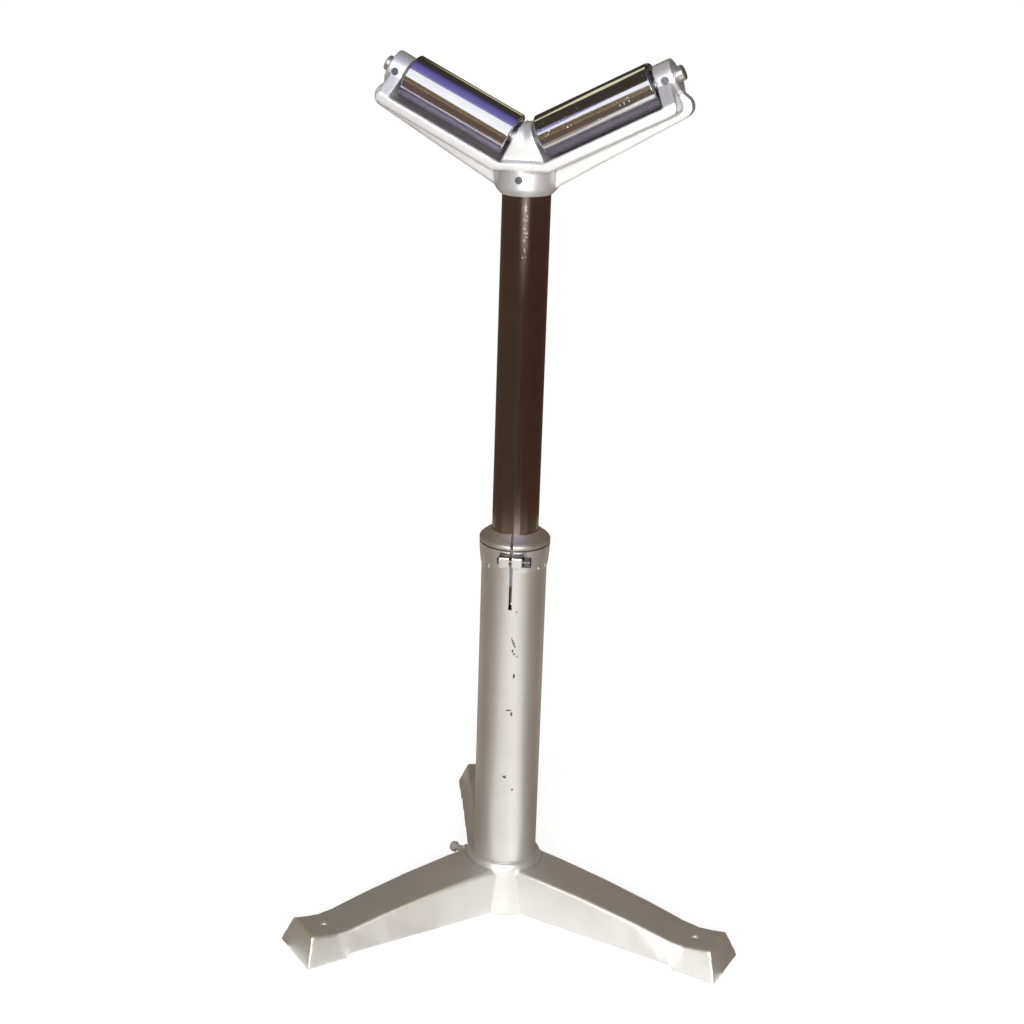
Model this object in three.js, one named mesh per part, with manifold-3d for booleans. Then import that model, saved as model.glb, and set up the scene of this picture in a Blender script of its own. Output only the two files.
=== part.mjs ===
import * as THREE from 'three';
import { mergeVertices } from 'three/addons/utils/BufferGeometryUtils.js';
import Module from 'manifold-3d';

const wasm = await Module();
wasm.setup();

// Tubes: outer column and sliding pole
const COLUMN_OD = 76;
const COLUMN_WALL = 3.6;
const POLE_OD = 54;
const POLE_WALL = 4;
const POLE_INSERTION = 127;
const TUBE_SIDES = 40;

// Base casting: hub and three legs
const FOOT_REACH = 291;
const TOE_SET_BACK = 12;
const TOE_HEIGHT = 34;
const TOE_TOP_HALF = 25;
const LEG_FLOOR_HALF = 36.5;
const LEG_ROOT_HEIGHT = 59.5;
const LEG_ROOT_HALF = 33.2;
const LEG_WAIST_HEIGHT = 28.6;
const LEG_WAIST_HALF = 25.8;
const LEG_EDGE = 2;
const LEG_WALL = 7.5;
const LEG_BEARINGS = [92.6, 210, 330];
const LEG_GROUND_GAP = 4;
const PAD_LENGTH = 55;
const FLOOR_BOLT_DIAMETER = 7;
const FLOOR_BOLT_FROM_TOE = 40;
const HUB_RISE = 8.5;
const HUB_WALL = 7;
const HUB_SPREAD = 11;
const HUB_ROUNDING = 5;
const HUB_LEDGE_HEIGHT = 9;
const HUB_LEDGE_WIDTH = 4.4;
const HUB_SIDES = 48;

// Hub lock bolt and its nut
const LOCK_BOLT_DIAMETER = 8;
const LOCK_BOLT_HEAD_DIAMETER = 13;
const LOCK_BOLT_HEAD_LENGTH = 8;
const LOCK_BOLT_LENGTH = 36.8;
const LOCK_BOLT_HEIGHT = 45;
const LOCK_BOLT_BEARING = THREE.MathUtils.degToRad(150);
const LOCK_NUT_FLATS = 13;
const LOCK_NUT_LENGTH = 6.5;

// Clamp collar at the top of the column
const COLLAR_TOP = 490;
const COLLAR_CONE_HEIGHT = 11.5;
const COLLAR_LIP = 15;
const COLLAR_LENGTH = 43;
const COLLAR_WALL = 3.3;
const COLLAR_FOOT_WALL = 1.5;
const SLIT_WIDTH = 3.6;
const SLIT_BELOW_COLLAR = 45;
const SLEEVE_LENGTH = 46;
const LUG_WIDTH = 11.3;
const LUG_HEIGHT = 14;
const LUG_TOP_BELOW_COLLAR = 17.5;
const LUG_LENGTH = 18;
const LUG_CORNER = 2;
const CLAMP_TURN = THREE.MathUtils.degToRad(-8);

// Clamp screw with its washer
const CLAMP_SCREW_DIAMETER = 8;
const CLAMP_HEAD_DIAMETER = 13;
const CLAMP_HEAD_LENGTH = 8;
const CLAMP_SCREW_FROM_NOSE = 7.2;
const CLAMP_SOCKET_FLATS = 6;
const CLAMP_SOCKET_DEPTH = 4;
const CLAMP_TAIL = 2.5;
const WASHER_OD = 13;
const WASHER_THICKNESS = 1.6;

// Guide at the foot of the pole
const GUIDE_HEIGHT = 26;
const PLUG_FLANGE = 6;
const PLUG_FLANGE_GAP = 1.4;
const PLUG_SPIGOT = 18;
const PLUG_HOLE_RADIUS = 8;
const STOP_RING_HEIGHT = 5;
const HIDDEN_SIDES = 24;

// Head: two inclined rollers in one yoke
const ROLLER_TILT = THREE.MathUtils.degToRad(27);
const HEAD_TURN = THREE.MathUtils.degToRad(-19);
const APEX_HEIGHT = 934;
const ROLLER_OD = 50.5;
const ROLLER_LENGTH = 134;
const ROLLER_APEX_GAP = 6.6;
const ROLLER_EDGE = 1.2;
const ROLLER_SIDES = 40;
const ELBOW_GAP = 4.5;
const EAR_GAP = 3.1;
const EAR_THICKNESS = 20;
const EAR_RADIUS = 19.5;
const EAR_NECK_DROP = 3;
const ELBOW_RADIUS = 22.3;
const BOSS_SIDES = 28;
const ROLLER_SIDE_GAP = 2.25;
const ROLLER_FLOOR_GAP = 3.55;
const RAIL_THICKNESS = 7;
const RAIL_LAP = 0.45;
const RAIL_HEIGHT = 11.6;
const TRAY_CORNER = 9;
const TRAY_SET_BACK = 6;
const RIB_THICKNESS = 16;
const RIB_OUTER_DEPTH = 7.6;
const RIB_ROOT_DEPTH = 19.6;
const RIB_CORNER = 13;
const RIB_PROUD = 4;
const RIB_NECK = 6;
const BRIDGE_DROP = 15.7;
const BRIDGE_HEIGHT = 8.5;
const SOCKET_DROP = 53;
const SOCKET_WALL = 7.3;
const SOCKET_CHAMFER_HEIGHT = 7;
const SOCKET_CHAMFER_WIDTH = 6.2;
const SOCKET_DEPTH = 31;
const SOCKET_SCREW_DROP = 34;
const SET_SCREW_DIAMETER = 8;
const SET_SCREW_RECESS = 0.8;
const SET_SCREW_SOCKET = 4;
const SET_SCREW_SOCKET_DEPTH = 3;

// Axles and ball bearings
const AXLE_DIAMETER = 17;
const AXLE_CENTRE_GAP = 2;
const AXLE_PROUD = 8;
const AXLE_EDGE = 1;
const AXLE_SIDES = 20;
const BEARING_OD = 40;
const BEARING_WIDTH = 12;
const BEARING_RECESS = 2;
const INNER_RING_WALL = 3.1;
const OUTER_RING_WALL = 2.9;
const BEARING_SIDES = 20;
const BALL_COUNT = 6;
const CAGE_WIDTH = 2.4;
const CAGE_THICKNESS = 1;
const SEAT_SHOULDER = 1.3;
const SPACER_WALL = 2.5;

// Clearances
const SLIDE_GAP = 0.3;
const SEAT_GAP = 0.2;
const REST_GAP = 0.3;

// Sizes that follow from the ones above
const COLUMN_RADIUS = COLUMN_OD / 2;
const COLUMN_BORE = COLUMN_RADIUS - COLUMN_WALL;
const POLE_RADIUS = POLE_OD / 2;
const POLE_BORE = POLE_RADIUS - POLE_WALL;
const TOE_DEPTH = FOOT_REACH * Math.sin(Math.PI / 6) + LEG_FLOOR_HALF * Math.cos(Math.PI / 6);
const REAR_BEARING = THREE.MathUtils.degToRad(LEG_BEARINGS[0]);
const REAR_DEPTH = FOOT_REACH * Math.sin(REAR_BEARING) - LEG_FLOOR_HALF * Math.cos(REAR_BEARING);
const COLUMN_Y = -(REAR_DEPTH - TOE_DEPTH) / 2;
const HUB_HEIGHT = LEG_ROOT_HEIGHT + HUB_RISE;
const HUB_TOP_RADIUS = COLUMN_RADIUS + HUB_WALL;
const HUB_FOOT_RADIUS = HUB_TOP_RADIUS + HUB_SPREAD;
const HUB_DRAIN_RADIUS = COLUMN_BORE - HUB_LEDGE_WIDTH;
const LOCK_BOLT_TIP = COLUMN_RADIUS + SEAT_GAP;
const LOCK_BOLT_REACH = LOCK_BOLT_TIP + LOCK_BOLT_LENGTH;
const COLLAR_RADIUS = COLUMN_RADIUS + COLLAR_WALL;
const COLLAR_FOOT_RADIUS = COLUMN_RADIUS + COLLAR_FOOT_WALL;
const LUG_REACH = COLUMN_RADIUS + LUG_LENGTH;
const COLLAR_FOOT = COLLAR_TOP - COLLAR_LENGTH;
const COLUMN_TOP = COLLAR_TOP - COLLAR_LIP - REST_GAP;
const SLIT_FOOT = COLLAR_FOOT - SLIT_BELOW_COLLAR;
const SLEEVE_TOP = COLUMN_TOP;
const LUG_TOP = COLLAR_TOP - LUG_TOP_BELOW_COLLAR;
const CLAMP_SCREW_Y = -(LUG_REACH - CLAMP_SCREW_FROM_NOSE);
const CLAMP_SCREW_Z = LUG_TOP - LUG_HEIGHT / 2;
const POLE_FOOT = COLLAR_TOP - POLE_INSERTION;
const POLE_TOP = APEX_HEIGHT - SOCKET_DROP + SOCKET_DEPTH - REST_GAP;
const GUIDE_TOP = POLE_FOOT + REST_GAP + GUIDE_HEIGHT;
const PLUG_FLANGE_RADIUS = COLUMN_BORE - PLUG_FLANGE_GAP;
const STOP_RING_RADIUS = (POLE_RADIUS + COLUMN_BORE) / 2;
const SOCKET_RADIUS = POLE_RADIUS + SEAT_GAP + SOCKET_WALL;
const ROLLER_RADIUS = ROLLER_OD / 2;
const ROLLER_START = ROLLER_RADIUS * Math.tan(ROLLER_TILT) + ROLLER_APEX_GAP;
const ROLLER_END = ROLLER_START + ROLLER_LENGTH;
const ELBOW_FACE = ROLLER_START - ELBOW_GAP;
const EAR_START = ROLLER_END + EAR_GAP;
const EAR_END = EAR_START + EAR_THICKNESS;
const EAR_MIDDLE = (EAR_START + EAR_END) / 2;
const YOKE_HALF = ROLLER_RADIUS + ROLLER_SIDE_GAP + RAIL_THICKNESS;
const YOKE_WIDTH = 2 * YOKE_HALF;
const RAIL_TOP_DROP = ROLLER_RADIUS - RAIL_LAP;
const RAIL_FOOT_DROP = RAIL_TOP_DROP + RAIL_HEIGHT;
const TRAY_FLOOR_DROP = ROLLER_RADIUS + ROLLER_FLOOR_GAP;
const TILT_SINE = Math.sin(ROLLER_TILT);
const TILT_COSINE = Math.cos(ROLLER_TILT);
const RAIL_TOP_START = (RAIL_TOP_DROP * TILT_COSINE - BRIDGE_DROP) / TILT_SINE;
const RAIL_FOOT_START = (RAIL_FOOT_DROP * TILT_COSINE - BRIDGE_DROP - BRIDGE_HEIGHT) / TILT_SINE;
const BRIDGE_HALF_LENGTH = RAIL_FOOT_START * TILT_COSINE + RAIL_FOOT_DROP * TILT_SINE;
const RIB_OUTER_DROP = RAIL_FOOT_DROP + RIB_OUTER_DEPTH;
const RIB_ROOT_DROP = RAIL_FOOT_DROP + RIB_ROOT_DEPTH;
const AXLE_RADIUS = AXLE_DIAMETER / 2;
const AXLE_START = AXLE_RADIUS * Math.tan(ROLLER_TILT) + AXLE_CENTRE_GAP;
const AXLE_END = EAR_END + AXLE_PROUD;
const AXLE_HOLE = AXLE_RADIUS + SEAT_GAP;
const BEARING_RADIUS = BEARING_OD / 2;
const NEAR_BEARING = ROLLER_START + BEARING_RECESS;
const FAR_BEARING = ROLLER_END - BEARING_RECESS - BEARING_WIDTH;
const INNER_RING_RADIUS = AXLE_RADIUS + INNER_RING_WALL;
const OUTER_RING_BORE = BEARING_RADIUS - OUTER_RING_WALL;
const SPACER_RADIUS = AXLE_RADIUS + SPACER_WALL;
const BALL_PITCH = (INNER_RING_RADIUS + OUTER_RING_BORE) / 2;
const BALL_RADIUS = (OUTER_RING_BORE - INNER_RING_RADIUS) / 2 - SLIDE_GAP;

// Finishes
const castIron = new THREE.MeshStandardMaterial({ color: 0xb9b2a8, metalness: 0.4, roughness: 0.55 });
const paintedTube = new THREE.MeshStandardMaterial({ color: 0xc9c5c0, metalness: 0.5, roughness: 0.4 });
const darkSteel = new THREE.MeshStandardMaterial({ color: 0x3a2f2c, metalness: 0.9, roughness: 0.25 });
const castAluminium = new THREE.MeshStandardMaterial({ color: 0xe4e4e6, metalness: 0.6, roughness: 0.4 });
const chrome = new THREE.MeshStandardMaterial({ color: 0xcfcfd6, metalness: 1.0, roughness: 0.1 });
const brightSteel = new THREE.MeshStandardMaterial({ color: 0xb4b4b8, metalness: 0.9, roughness: 0.3 });
const blackSteel = new THREE.MeshStandardMaterial({ color: 0x1d1c1c, metalness: 0.7, roughness: 0.45 });
const nylon = new THREE.MeshStandardMaterial({ color: 0x7c7c7e, metalness: 0.0, roughness: 0.6 });

// Turns a closed surface into a solid that faces outwards
function solid(geometry) {
  const bare = geometry.index ? geometry.toNonIndexed() : geometry.clone();
  for (const name of Object.keys(bare.attributes)) {
    if (name !== 'position') bare.deleteAttribute(name);
  }
  const merged = mergeVertices(bare, 1e-4);
  const p = merged.attributes.position.array;
  const index = merged.index.array;
  const kept = [];
  let volume = 0;
  for (let i = 0; i < index.length; i += 3) {
    const a = index[i];
    const b = index[i + 1];
    const c = index[i + 2];
    if (a === b || b === c || c === a) continue;
    kept.push(a, b, c);
    const va = new THREE.Vector3().fromArray(p, a * 3);
    const vb = new THREE.Vector3().fromArray(p, b * 3);
    const vc = new THREE.Vector3().fromArray(p, c * 3);
    volume += va.dot(vb.cross(vc));
  }
  if (volume < 0) kept.reverse();
  const mesh = new wasm.Mesh({
    numProp: 3,
    vertProperties: new Float32Array(p),
    triVerts: new Uint32Array(kept),
  });
  return new wasm.Manifold(mesh);
}

// Turns a solid into a named mesh
function piece(name, body, material) {
  const mesh = body.getMesh();
  const geometry = new THREE.BufferGeometry();
  geometry.setAttribute('position', new THREE.BufferAttribute(new Float32Array(mesh.vertProperties), 3));
  geometry.setIndex(Array.from(mesh.triVerts));
  geometry.computeVertexNormals();
  const part = new THREE.Mesh(geometry, material);
  part.name = name;
  return part;
}

// A turned shape about the Z axis from [radius, height] points
function turned(profile, sides) {
  const points = profile.map(([r, z]) => new THREE.Vector2(r, z));
  return new THREE.LatheGeometry(points, sides).rotateX(Math.PI / 2);
}

// A plain round bar between two heights
function bar(radius, low, high, sides) {
  return turned([[0, low], [radius, low], [radius, high], [0, high]], sides);
}

// A plain ring between two heights
function ring(inner, outer, low, high, sides) {
  return turned([[inner, low], [outer, low], [outer, high], [inner, high], [inner, low]], sides);
}

// A flat outline pushed along its normal
function pushed(points, depth) {
  const shape = new THREE.Shape(points.map(([x, y]) => new THREE.Vector2(x, y)));
  return new THREE.ExtrudeGeometry(shape, { depth, bevelEnabled: false });
}

// A block between two opposite corners
function block(low, high) {
  const size = high.map((v, i) => v - low[i]);
  const box = new THREE.BoxGeometry(size[0], size[1], size[2]);
  return box.translate(low[0] + size[0] / 2, low[1] + size[1] / 2, low[2] + size[2] / 2);
}

// Lays the Z axis of a shape along X
const ALONG_X = new THREE.Matrix4().makeBasis(
  new THREE.Vector3(0, 1, 0),
  new THREE.Vector3(0, 0, 1),
  new THREE.Vector3(1, 0, 0),
);

function alongX(geometry) {
  return geometry.applyMatrix4(ALONG_X);
}

// An outline in X and Z pushed evenly to both sides of the Y plane
function upright(points, width) {
  return pushed(points, width).rotateX(Math.PI / 2).translate(0, width / 2, 0);
}

// A skin between cross-sections that all have the same number of corners
function lofted(sections) {
  const count = sections[0].length;
  const positions = sections.flat(2);
  const faces = [];
  for (let i = 0; i + 1 < sections.length; i += 1) {
    for (let j = 0; j < count; j += 1) {
      const a = i * count + j;
      const b = i * count + ((j + 1) % count);
      faces.push(a, b, b + count, a, b + count, a + count);
    }
  }
  const last = (sections.length - 1) * count;
  for (let j = 1; j + 1 < count; j += 1) {
    faces.push(0, j + 1, j);
    faces.push(last, last + j, last + j + 1);
  }
  const geometry = new THREE.BufferGeometry();
  geometry.setAttribute('position', new THREE.Float32BufferAttribute(positions, 3));
  geometry.setIndex(faces);
  return geometry;
}

// Leg: share of the reach against share of the drop from hub to waist
const LEG_CURVE = [[0.08, -0.02], [0.21, 0.076], [0.42, 0.315], [0.63, 0.644], [0.78, 0.938], [0.85, 1]];
const WAIST_SHARE = LEG_CURVE[LEG_CURVE.length - 1][0];

function legTop(share) {
  const at = LEG_CURVE.findIndex(([s]) => s >= share);
  const [s0, d0] = LEG_CURVE[Math.max(at - 1, 0)];
  const [s1, d1] = LEG_CURVE[Math.max(at, 1)];
  const drop = d0 + ((d1 - d0) * (share - s0)) / (s1 - s0);
  const height = LEG_ROOT_HEIGHT - drop * (LEG_ROOT_HEIGHT - LEG_WAIST_HEIGHT);
  const half = LEG_ROOT_HALF + (LEG_WAIST_HALF - LEG_ROOT_HALF) * (share / WAIST_SHARE);
  return { height, half };
}

function legSection(reach, topReach, foot, height, half) {
  const shoulder = reach + (topReach - reach) * ((height - LEG_EDGE - foot) / (height - foot));
  return [
    [reach, -LEG_FLOOR_HALF, foot],
    [reach, LEG_FLOOR_HALF, foot],
    [shoulder, half, height - LEG_EDGE],
    [topReach, half - LEG_EDGE, height],
    [topReach, -half + LEG_EDGE, height],
    [shoulder, -half, height - LEG_EDGE],
  ];
}

function legBody() {
  const toeTop = FOOT_REACH - TOE_SET_BACK;
  const padStart = FOOT_REACH - PAD_LENGTH;
  const waist = WAIST_SHARE * FOOT_REACH;
  const sections = [];
  for (const [share] of LEG_CURVE) {
    const { height, half } = legTop(share);
    const reach = share * FOOT_REACH;
    if (reach < padStart) sections.push(legSection(reach, reach, LEG_GROUND_GAP, height, half));
  }
  const before = legTop(padStart / FOOT_REACH);
  sections.push(legSection(padStart, padStart, LEG_GROUND_GAP, before.height, before.half));
  const after = legTop((padStart + 3) / FOOT_REACH);
  sections.push(legSection(padStart + 3, padStart + 3, 0, after.height, after.half));
  sections.push(legSection(waist, waist, 0, LEG_WAIST_HEIGHT, LEG_WAIST_HALF));
  const middle = (waist + toeTop) / 2;
  const rise = LEG_WAIST_HEIGHT + (TOE_HEIGHT - LEG_WAIST_HEIGHT) * 0.4;
  const narrow = (LEG_WAIST_HALF + TOE_TOP_HALF) / 2;
  sections.push(legSection(middle, middle, 0, rise, narrow));
  sections.push(legSection(FOOT_REACH, toeTop, 0, TOE_HEIGHT, TOE_TOP_HALF));
  return solid(lofted(sections));
}

function legPocket() {
  const sections = [];
  for (const share of [0.21, 0.42, 0.63, 0.77]) {
    const { height, half } = legTop(share);
    const reach = share * FOOT_REACH;
    sections.push([
      [reach, -LEG_FLOOR_HALF + LEG_WALL, -1],
      [reach, LEG_FLOOR_HALF - LEG_WALL, -1],
      [reach, half - LEG_WALL, height - LEG_WALL],
      [reach, -half + LEG_WALL, height - LEG_WALL],
    ]);
  }
  return solid(lofted(sections));
}

// Base casting
function baseCasting() {
  const hub = turned([
    [0, LEG_GROUND_GAP],
    [HUB_FOOT_RADIUS, LEG_GROUND_GAP],
    [HUB_TOP_RADIUS, LEG_ROOT_HEIGHT],
    [HUB_TOP_RADIUS - HUB_ROUNDING * 0.2, HUB_HEIGHT - HUB_ROUNDING * 0.8],
    [HUB_TOP_RADIUS - HUB_ROUNDING * 0.6, HUB_HEIGHT - HUB_ROUNDING * 0.2],
    [HUB_TOP_RADIUS - HUB_ROUNDING, HUB_HEIGHT],
    [0, HUB_HEIGHT],
  ], HUB_SIDES);
  let body = solid(hub);
  for (const bearing of LEG_BEARINGS) body = body.add(legBody().rotate([0, 0, bearing]));
  const floorBolt = FOOT_REACH - FLOOR_BOLT_FROM_TOE;
  const bolt = bar(FLOOR_BOLT_DIAMETER / 2, -1, TOE_HEIGHT + 5, 12).translate(floorBolt, 0, 0);
  for (const bearing of LEG_BEARINGS) {
    body = body.subtract(legPocket().rotate([0, 0, bearing]));
    body = body.subtract(solid(bolt).rotate([0, 0, bearing]));
  }
  const bore = bar(COLUMN_RADIUS + SEAT_GAP, HUB_LEDGE_HEIGHT, HUB_HEIGHT + 1, TUBE_SIDES);
  body = body.subtract(solid(bore.rotateZ(CLAMP_TURN)));
  body = body.subtract(solid(bar(HUB_DRAIN_RADIUS, -1, HUB_LEDGE_HEIGHT + 1, TUBE_SIDES)));
  const thread = bar(LOCK_BOLT_DIAMETER / 2 + SEAT_GAP, COLUMN_RADIUS - 2, HUB_FOOT_RADIUS + 5, 12);
  return body.subtract(solid(lockPlaced(thread)));
}

function lockPlaced(geometry) {
  return alongX(geometry).translate(0, 0, LOCK_BOLT_HEIGHT).rotateZ(LOCK_BOLT_BEARING);
}

// Hub lock bolt bears on the column and its nut keeps it tight
function hubLockBolt() {
  const headStart = LOCK_BOLT_REACH - LOCK_BOLT_HEAD_LENGTH;
  const head = LOCK_BOLT_HEAD_DIAMETER / 2;
  const shank = LOCK_BOLT_DIAMETER / 2;
  const profile = [
    [0, LOCK_BOLT_TIP],
    [shank - 1, LOCK_BOLT_TIP],
    [shank, LOCK_BOLT_TIP + 1],
    [shank, headStart],
    [head, headStart],
    [head, LOCK_BOLT_REACH - 3],
    [head - 2, LOCK_BOLT_REACH - 0.8],
    [0, LOCK_BOLT_REACH],
  ];
  return solid(lockPlaced(turned(profile, 16)));
}

function hubLockNut() {
  const slope = (HUB_FOOT_RADIUS - HUB_TOP_RADIUS) / (LEG_ROOT_HEIGHT - LEG_GROUND_GAP);
  const low = LOCK_BOLT_HEIGHT - LOCK_NUT_FLATS / 2;
  const face = HUB_FOOT_RADIUS - slope * (low - LEG_GROUND_GAP) + REST_GAP;
  const corner = LOCK_NUT_FLATS / Math.sqrt(3);
  const nut = solid(lockPlaced(bar(corner, face, face + LOCK_NUT_LENGTH, 6)));
  const hole = bar(LOCK_BOLT_DIAMETER / 2 + SEAT_GAP, face - 1, face + LOCK_NUT_LENGTH + 1, 12);
  return nut.subtract(solid(lockPlaced(hole)));
}

// Slit through one side of the column top and the collar
function slit() {
  return solid(block([-SLIT_WIDTH / 2, -LUG_REACH - 5, SLIT_FOOT], [SLIT_WIDTH / 2, 0, COLLAR_TOP + 5]));
}

// Column tube stands on the ledge in the hub
function columnTube() {
  const tube = ring(COLUMN_BORE, COLUMN_RADIUS, HUB_LEDGE_HEIGHT + SEAT_GAP, COLUMN_TOP, TUBE_SIDES);
  return solid(tube).subtract(slit());
}

// Sleeve between the column and the pole, split at the back, away from the column's slit
function clampSleeve() {
  const outer = COLUMN_BORE - SEAT_GAP;
  const inner = POLE_RADIUS + SLIDE_GAP;
  const sleeve = solid(ring(inner, outer, SLEEVE_TOP - SLEEVE_LENGTH, SLEEVE_TOP, TUBE_SIDES));
  return sleeve.subtract(slit().rotate([0, 0, 180]));
}

// Clamp collar with two lugs across the slit
function lug() {
  const c = LUG_CORNER;
  const low = LUG_TOP - LUG_HEIGHT;
  const root = -COLUMN_RADIUS - 1.5;
  const nose = -LUG_REACH;
  const outline = [[root, low], [root, LUG_TOP], [nose + c, LUG_TOP]];
  outline.push([nose + c * 0.3, LUG_TOP - c * 0.3], [nose, LUG_TOP - c]);
  outline.push([nose, low + c], [nose + c * 0.3, low + c * 0.3], [nose + c, low]);
  const width = SLIT_WIDTH + 2 * LUG_WIDTH;
  return alongX(pushed(outline, width)).translate(-width / 2, 0, 0);
}

function clampCollar() {
  const bore = POLE_RADIUS + SLIDE_GAP;
  const skirt = COLUMN_RADIUS + SEAT_GAP;
  const profile = [
    [bore, COLUMN_TOP + REST_GAP],
    [skirt, COLUMN_TOP + REST_GAP],
    [skirt, COLLAR_FOOT],
    [COLLAR_FOOT_RADIUS, COLLAR_FOOT],
    [COLLAR_RADIUS - 0.4, COLLAR_TOP - COLLAR_CONE_HEIGHT - 12],
    [COLLAR_RADIUS, COLLAR_TOP - COLLAR_CONE_HEIGHT],
    [bore + 1, COLLAR_TOP],
    [bore, COLLAR_TOP - 1],
    [bore, COLUMN_TOP + REST_GAP],
  ];
  const body = solid(turned(profile, TUBE_SIDES)).add(solid(lug())).subtract(slit());
  const hole = bar(CLAMP_SCREW_DIAMETER / 2 + SEAT_GAP, -LUG_REACH, LUG_REACH, 16);
  return body.subtract(solid(screwPlaced(hole)));
}

function screwPlaced(geometry) {
  return alongX(geometry).translate(0, CLAMP_SCREW_Y, CLAMP_SCREW_Z);
}

// Clamp screw, its head on the right lug
function clampScrew() {
  const face = SLIT_WIDTH / 2 + LUG_WIDTH + WASHER_THICKNESS + 2 * REST_GAP;
  const shank = CLAMP_SCREW_DIAMETER / 2;
  const head = CLAMP_HEAD_DIAMETER / 2;
  const tail = -SLIT_WIDTH / 2 - LUG_WIDTH - CLAMP_TAIL;
  const profile = [
    [0, tail],
    [shank - 1, tail],
    [shank, tail + 1],
    [shank, face],
    [head, face],
    [head, face + CLAMP_HEAD_LENGTH - 1],
    [head - 1, face + CLAMP_HEAD_LENGTH],
    [0, face + CLAMP_HEAD_LENGTH],
  ];
  const top = face + CLAMP_HEAD_LENGTH;
  const key = bar(CLAMP_SOCKET_FLATS / Math.sqrt(3), top - CLAMP_SOCKET_DEPTH, top + 1, 6);
  return solid(screwPlaced(turned(profile, 20))).subtract(solid(screwPlaced(key)));
}

function clampWasher() {
  const face = SLIT_WIDTH / 2 + LUG_WIDTH + REST_GAP;
  const bore = CLAMP_SCREW_DIAMETER / 2 + SEAT_GAP;
  return solid(screwPlaced(ring(bore, WASHER_OD / 2, face, face + WASHER_THICKNESS, 20)));
}

// Pole tube slides in the sleeve and carries the head
function poleTube() {
  return solid(ring(POLE_BORE, POLE_RADIUS, POLE_FOOT, POLE_TOP, TUBE_SIDES));
}

// Guide ring runs in the column and turns on the pole
function poleGuide() {
  const inner = POLE_RADIUS + SLIDE_GAP;
  const outer = COLUMN_BORE - SLIDE_GAP;
  return solid(ring(inner, outer, POLE_FOOT + REST_GAP, GUIDE_TOP, TUBE_SIDES));
}

function poleEndPlug() {
  const spigot = POLE_BORE - SEAT_GAP;
  return solid(turned([
    [PLUG_HOLE_RADIUS, POLE_FOOT - PLUG_FLANGE],
    [PLUG_FLANGE_RADIUS, POLE_FOOT - PLUG_FLANGE],
    [PLUG_FLANGE_RADIUS, POLE_FOOT - REST_GAP],
    [spigot, POLE_FOOT - REST_GAP],
    [spigot, POLE_FOOT + PLUG_SPIGOT],
    [PLUG_HOLE_RADIUS, POLE_FOOT + PLUG_SPIGOT],
    [PLUG_HOLE_RADIUS, POLE_FOOT - PLUG_FLANGE],
  ], HIDDEN_SIDES));
}

// Stop ring on the pole meets the sleeve before the pole can leave the column
function poleStopRing() {
  const low = GUIDE_TOP + REST_GAP;
  const inner = POLE_RADIUS + REST_GAP;
  return solid(ring(inner, STOP_RING_RADIUS, low, low + STOP_RING_HEIGHT, HIDDEN_SIDES));
}

// Set screws enter from the front of the head
function setScrew(inner, outer) {
  const radius = SET_SCREW_DIAMETER / 2;
  const profile = [[0, inner], [radius - 1, inner], [radius, inner + 1], [radius, outer], [0, outer]];
  const key = bar(SET_SCREW_SOCKET / Math.sqrt(3), outer - SET_SCREW_SOCKET_DEPTH, outer + 1, 6);
  return { profile, key };
}

function headSetScrew() {
  const { profile, key } = setScrew(POLE_RADIUS + REST_GAP, SOCKET_RADIUS - SET_SCREW_RECESS);
  return solid(headFront(turned(profile, 16))).subtract(solid(headFront(key)));
}

function headFront(geometry) {
  return geometry.rotateX(Math.PI / 2).translate(0, 0, APEX_HEIGHT - SOCKET_SCREW_DROP);
}

// Places a shape made along X onto the right or left roller axis
function onArm(geometry, side) {
  geometry.rotateY(-ROLLER_TILT);
  if (side < 0) geometry.rotateZ(Math.PI);
  return geometry.translate(0, 0, APEX_HEIGHT);
}

// Yoke casting: socket, bridge, elbow bosses, trays, ribs and ears
function ribOutline() {
  const end = EAR_END + RIB_PROUD;
  const fall = (RIB_ROOT_DROP - RIB_OUTER_DROP) / end;
  const low = RIB_OUTER_DROP + fall * RIB_CORNER;
  const side = RIB_OUTER_DROP - RIB_CORNER;
  return [
    [0, -RAIL_TOP_DROP - 6],
    [0, -RIB_ROOT_DROP],
    [end - RIB_CORNER, -low],
    [end - RIB_CORNER * 0.5, -RIB_OUTER_DROP + RIB_CORNER * 0.13],
    [end - RIB_CORNER * 0.13, -RIB_OUTER_DROP + RIB_CORNER * 0.5],
    [end, -side],
    [end - RIB_PROUD * 0.3, -side + RIB_NECK * 0.7],
    [EAR_END, -side + RIB_NECK * 1.7],
    [EAR_MIDDLE, -side + RIB_NECK * 1.7],
    [EAR_START, -RAIL_TOP_DROP - 6],
  ];
}

function trayOutline() {
  const c = TRAY_CORNER;
  const end = EAR_END - TRAY_SET_BACK;
  return [
    [RAIL_TOP_START - RAIL_LAP, -RAIL_TOP_DROP],
    [RAIL_FOOT_START, -RAIL_FOOT_DROP],
    [end - c, -RAIL_FOOT_DROP],
    [end - c * 0.3, -RAIL_FOOT_DROP + c * 0.3],
    [end, -RAIL_FOOT_DROP + c],
    [end, -RAIL_TOP_DROP],
  ];
}

function earOutline() {
  return [
    [-YOKE_HALF, -RAIL_TOP_DROP - 5],
    [YOKE_HALF, -RAIL_TOP_DROP - 5],
    [YOKE_HALF, -RAIL_TOP_DROP],
    [EAR_RADIUS, -EAR_NECK_DROP],
    [EAR_RADIUS, 0],
    [-EAR_RADIUS, 0],
    [-EAR_RADIUS, -EAR_NECK_DROP],
    [-YOKE_HALF, -RAIL_TOP_DROP],
  ];
}

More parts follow.
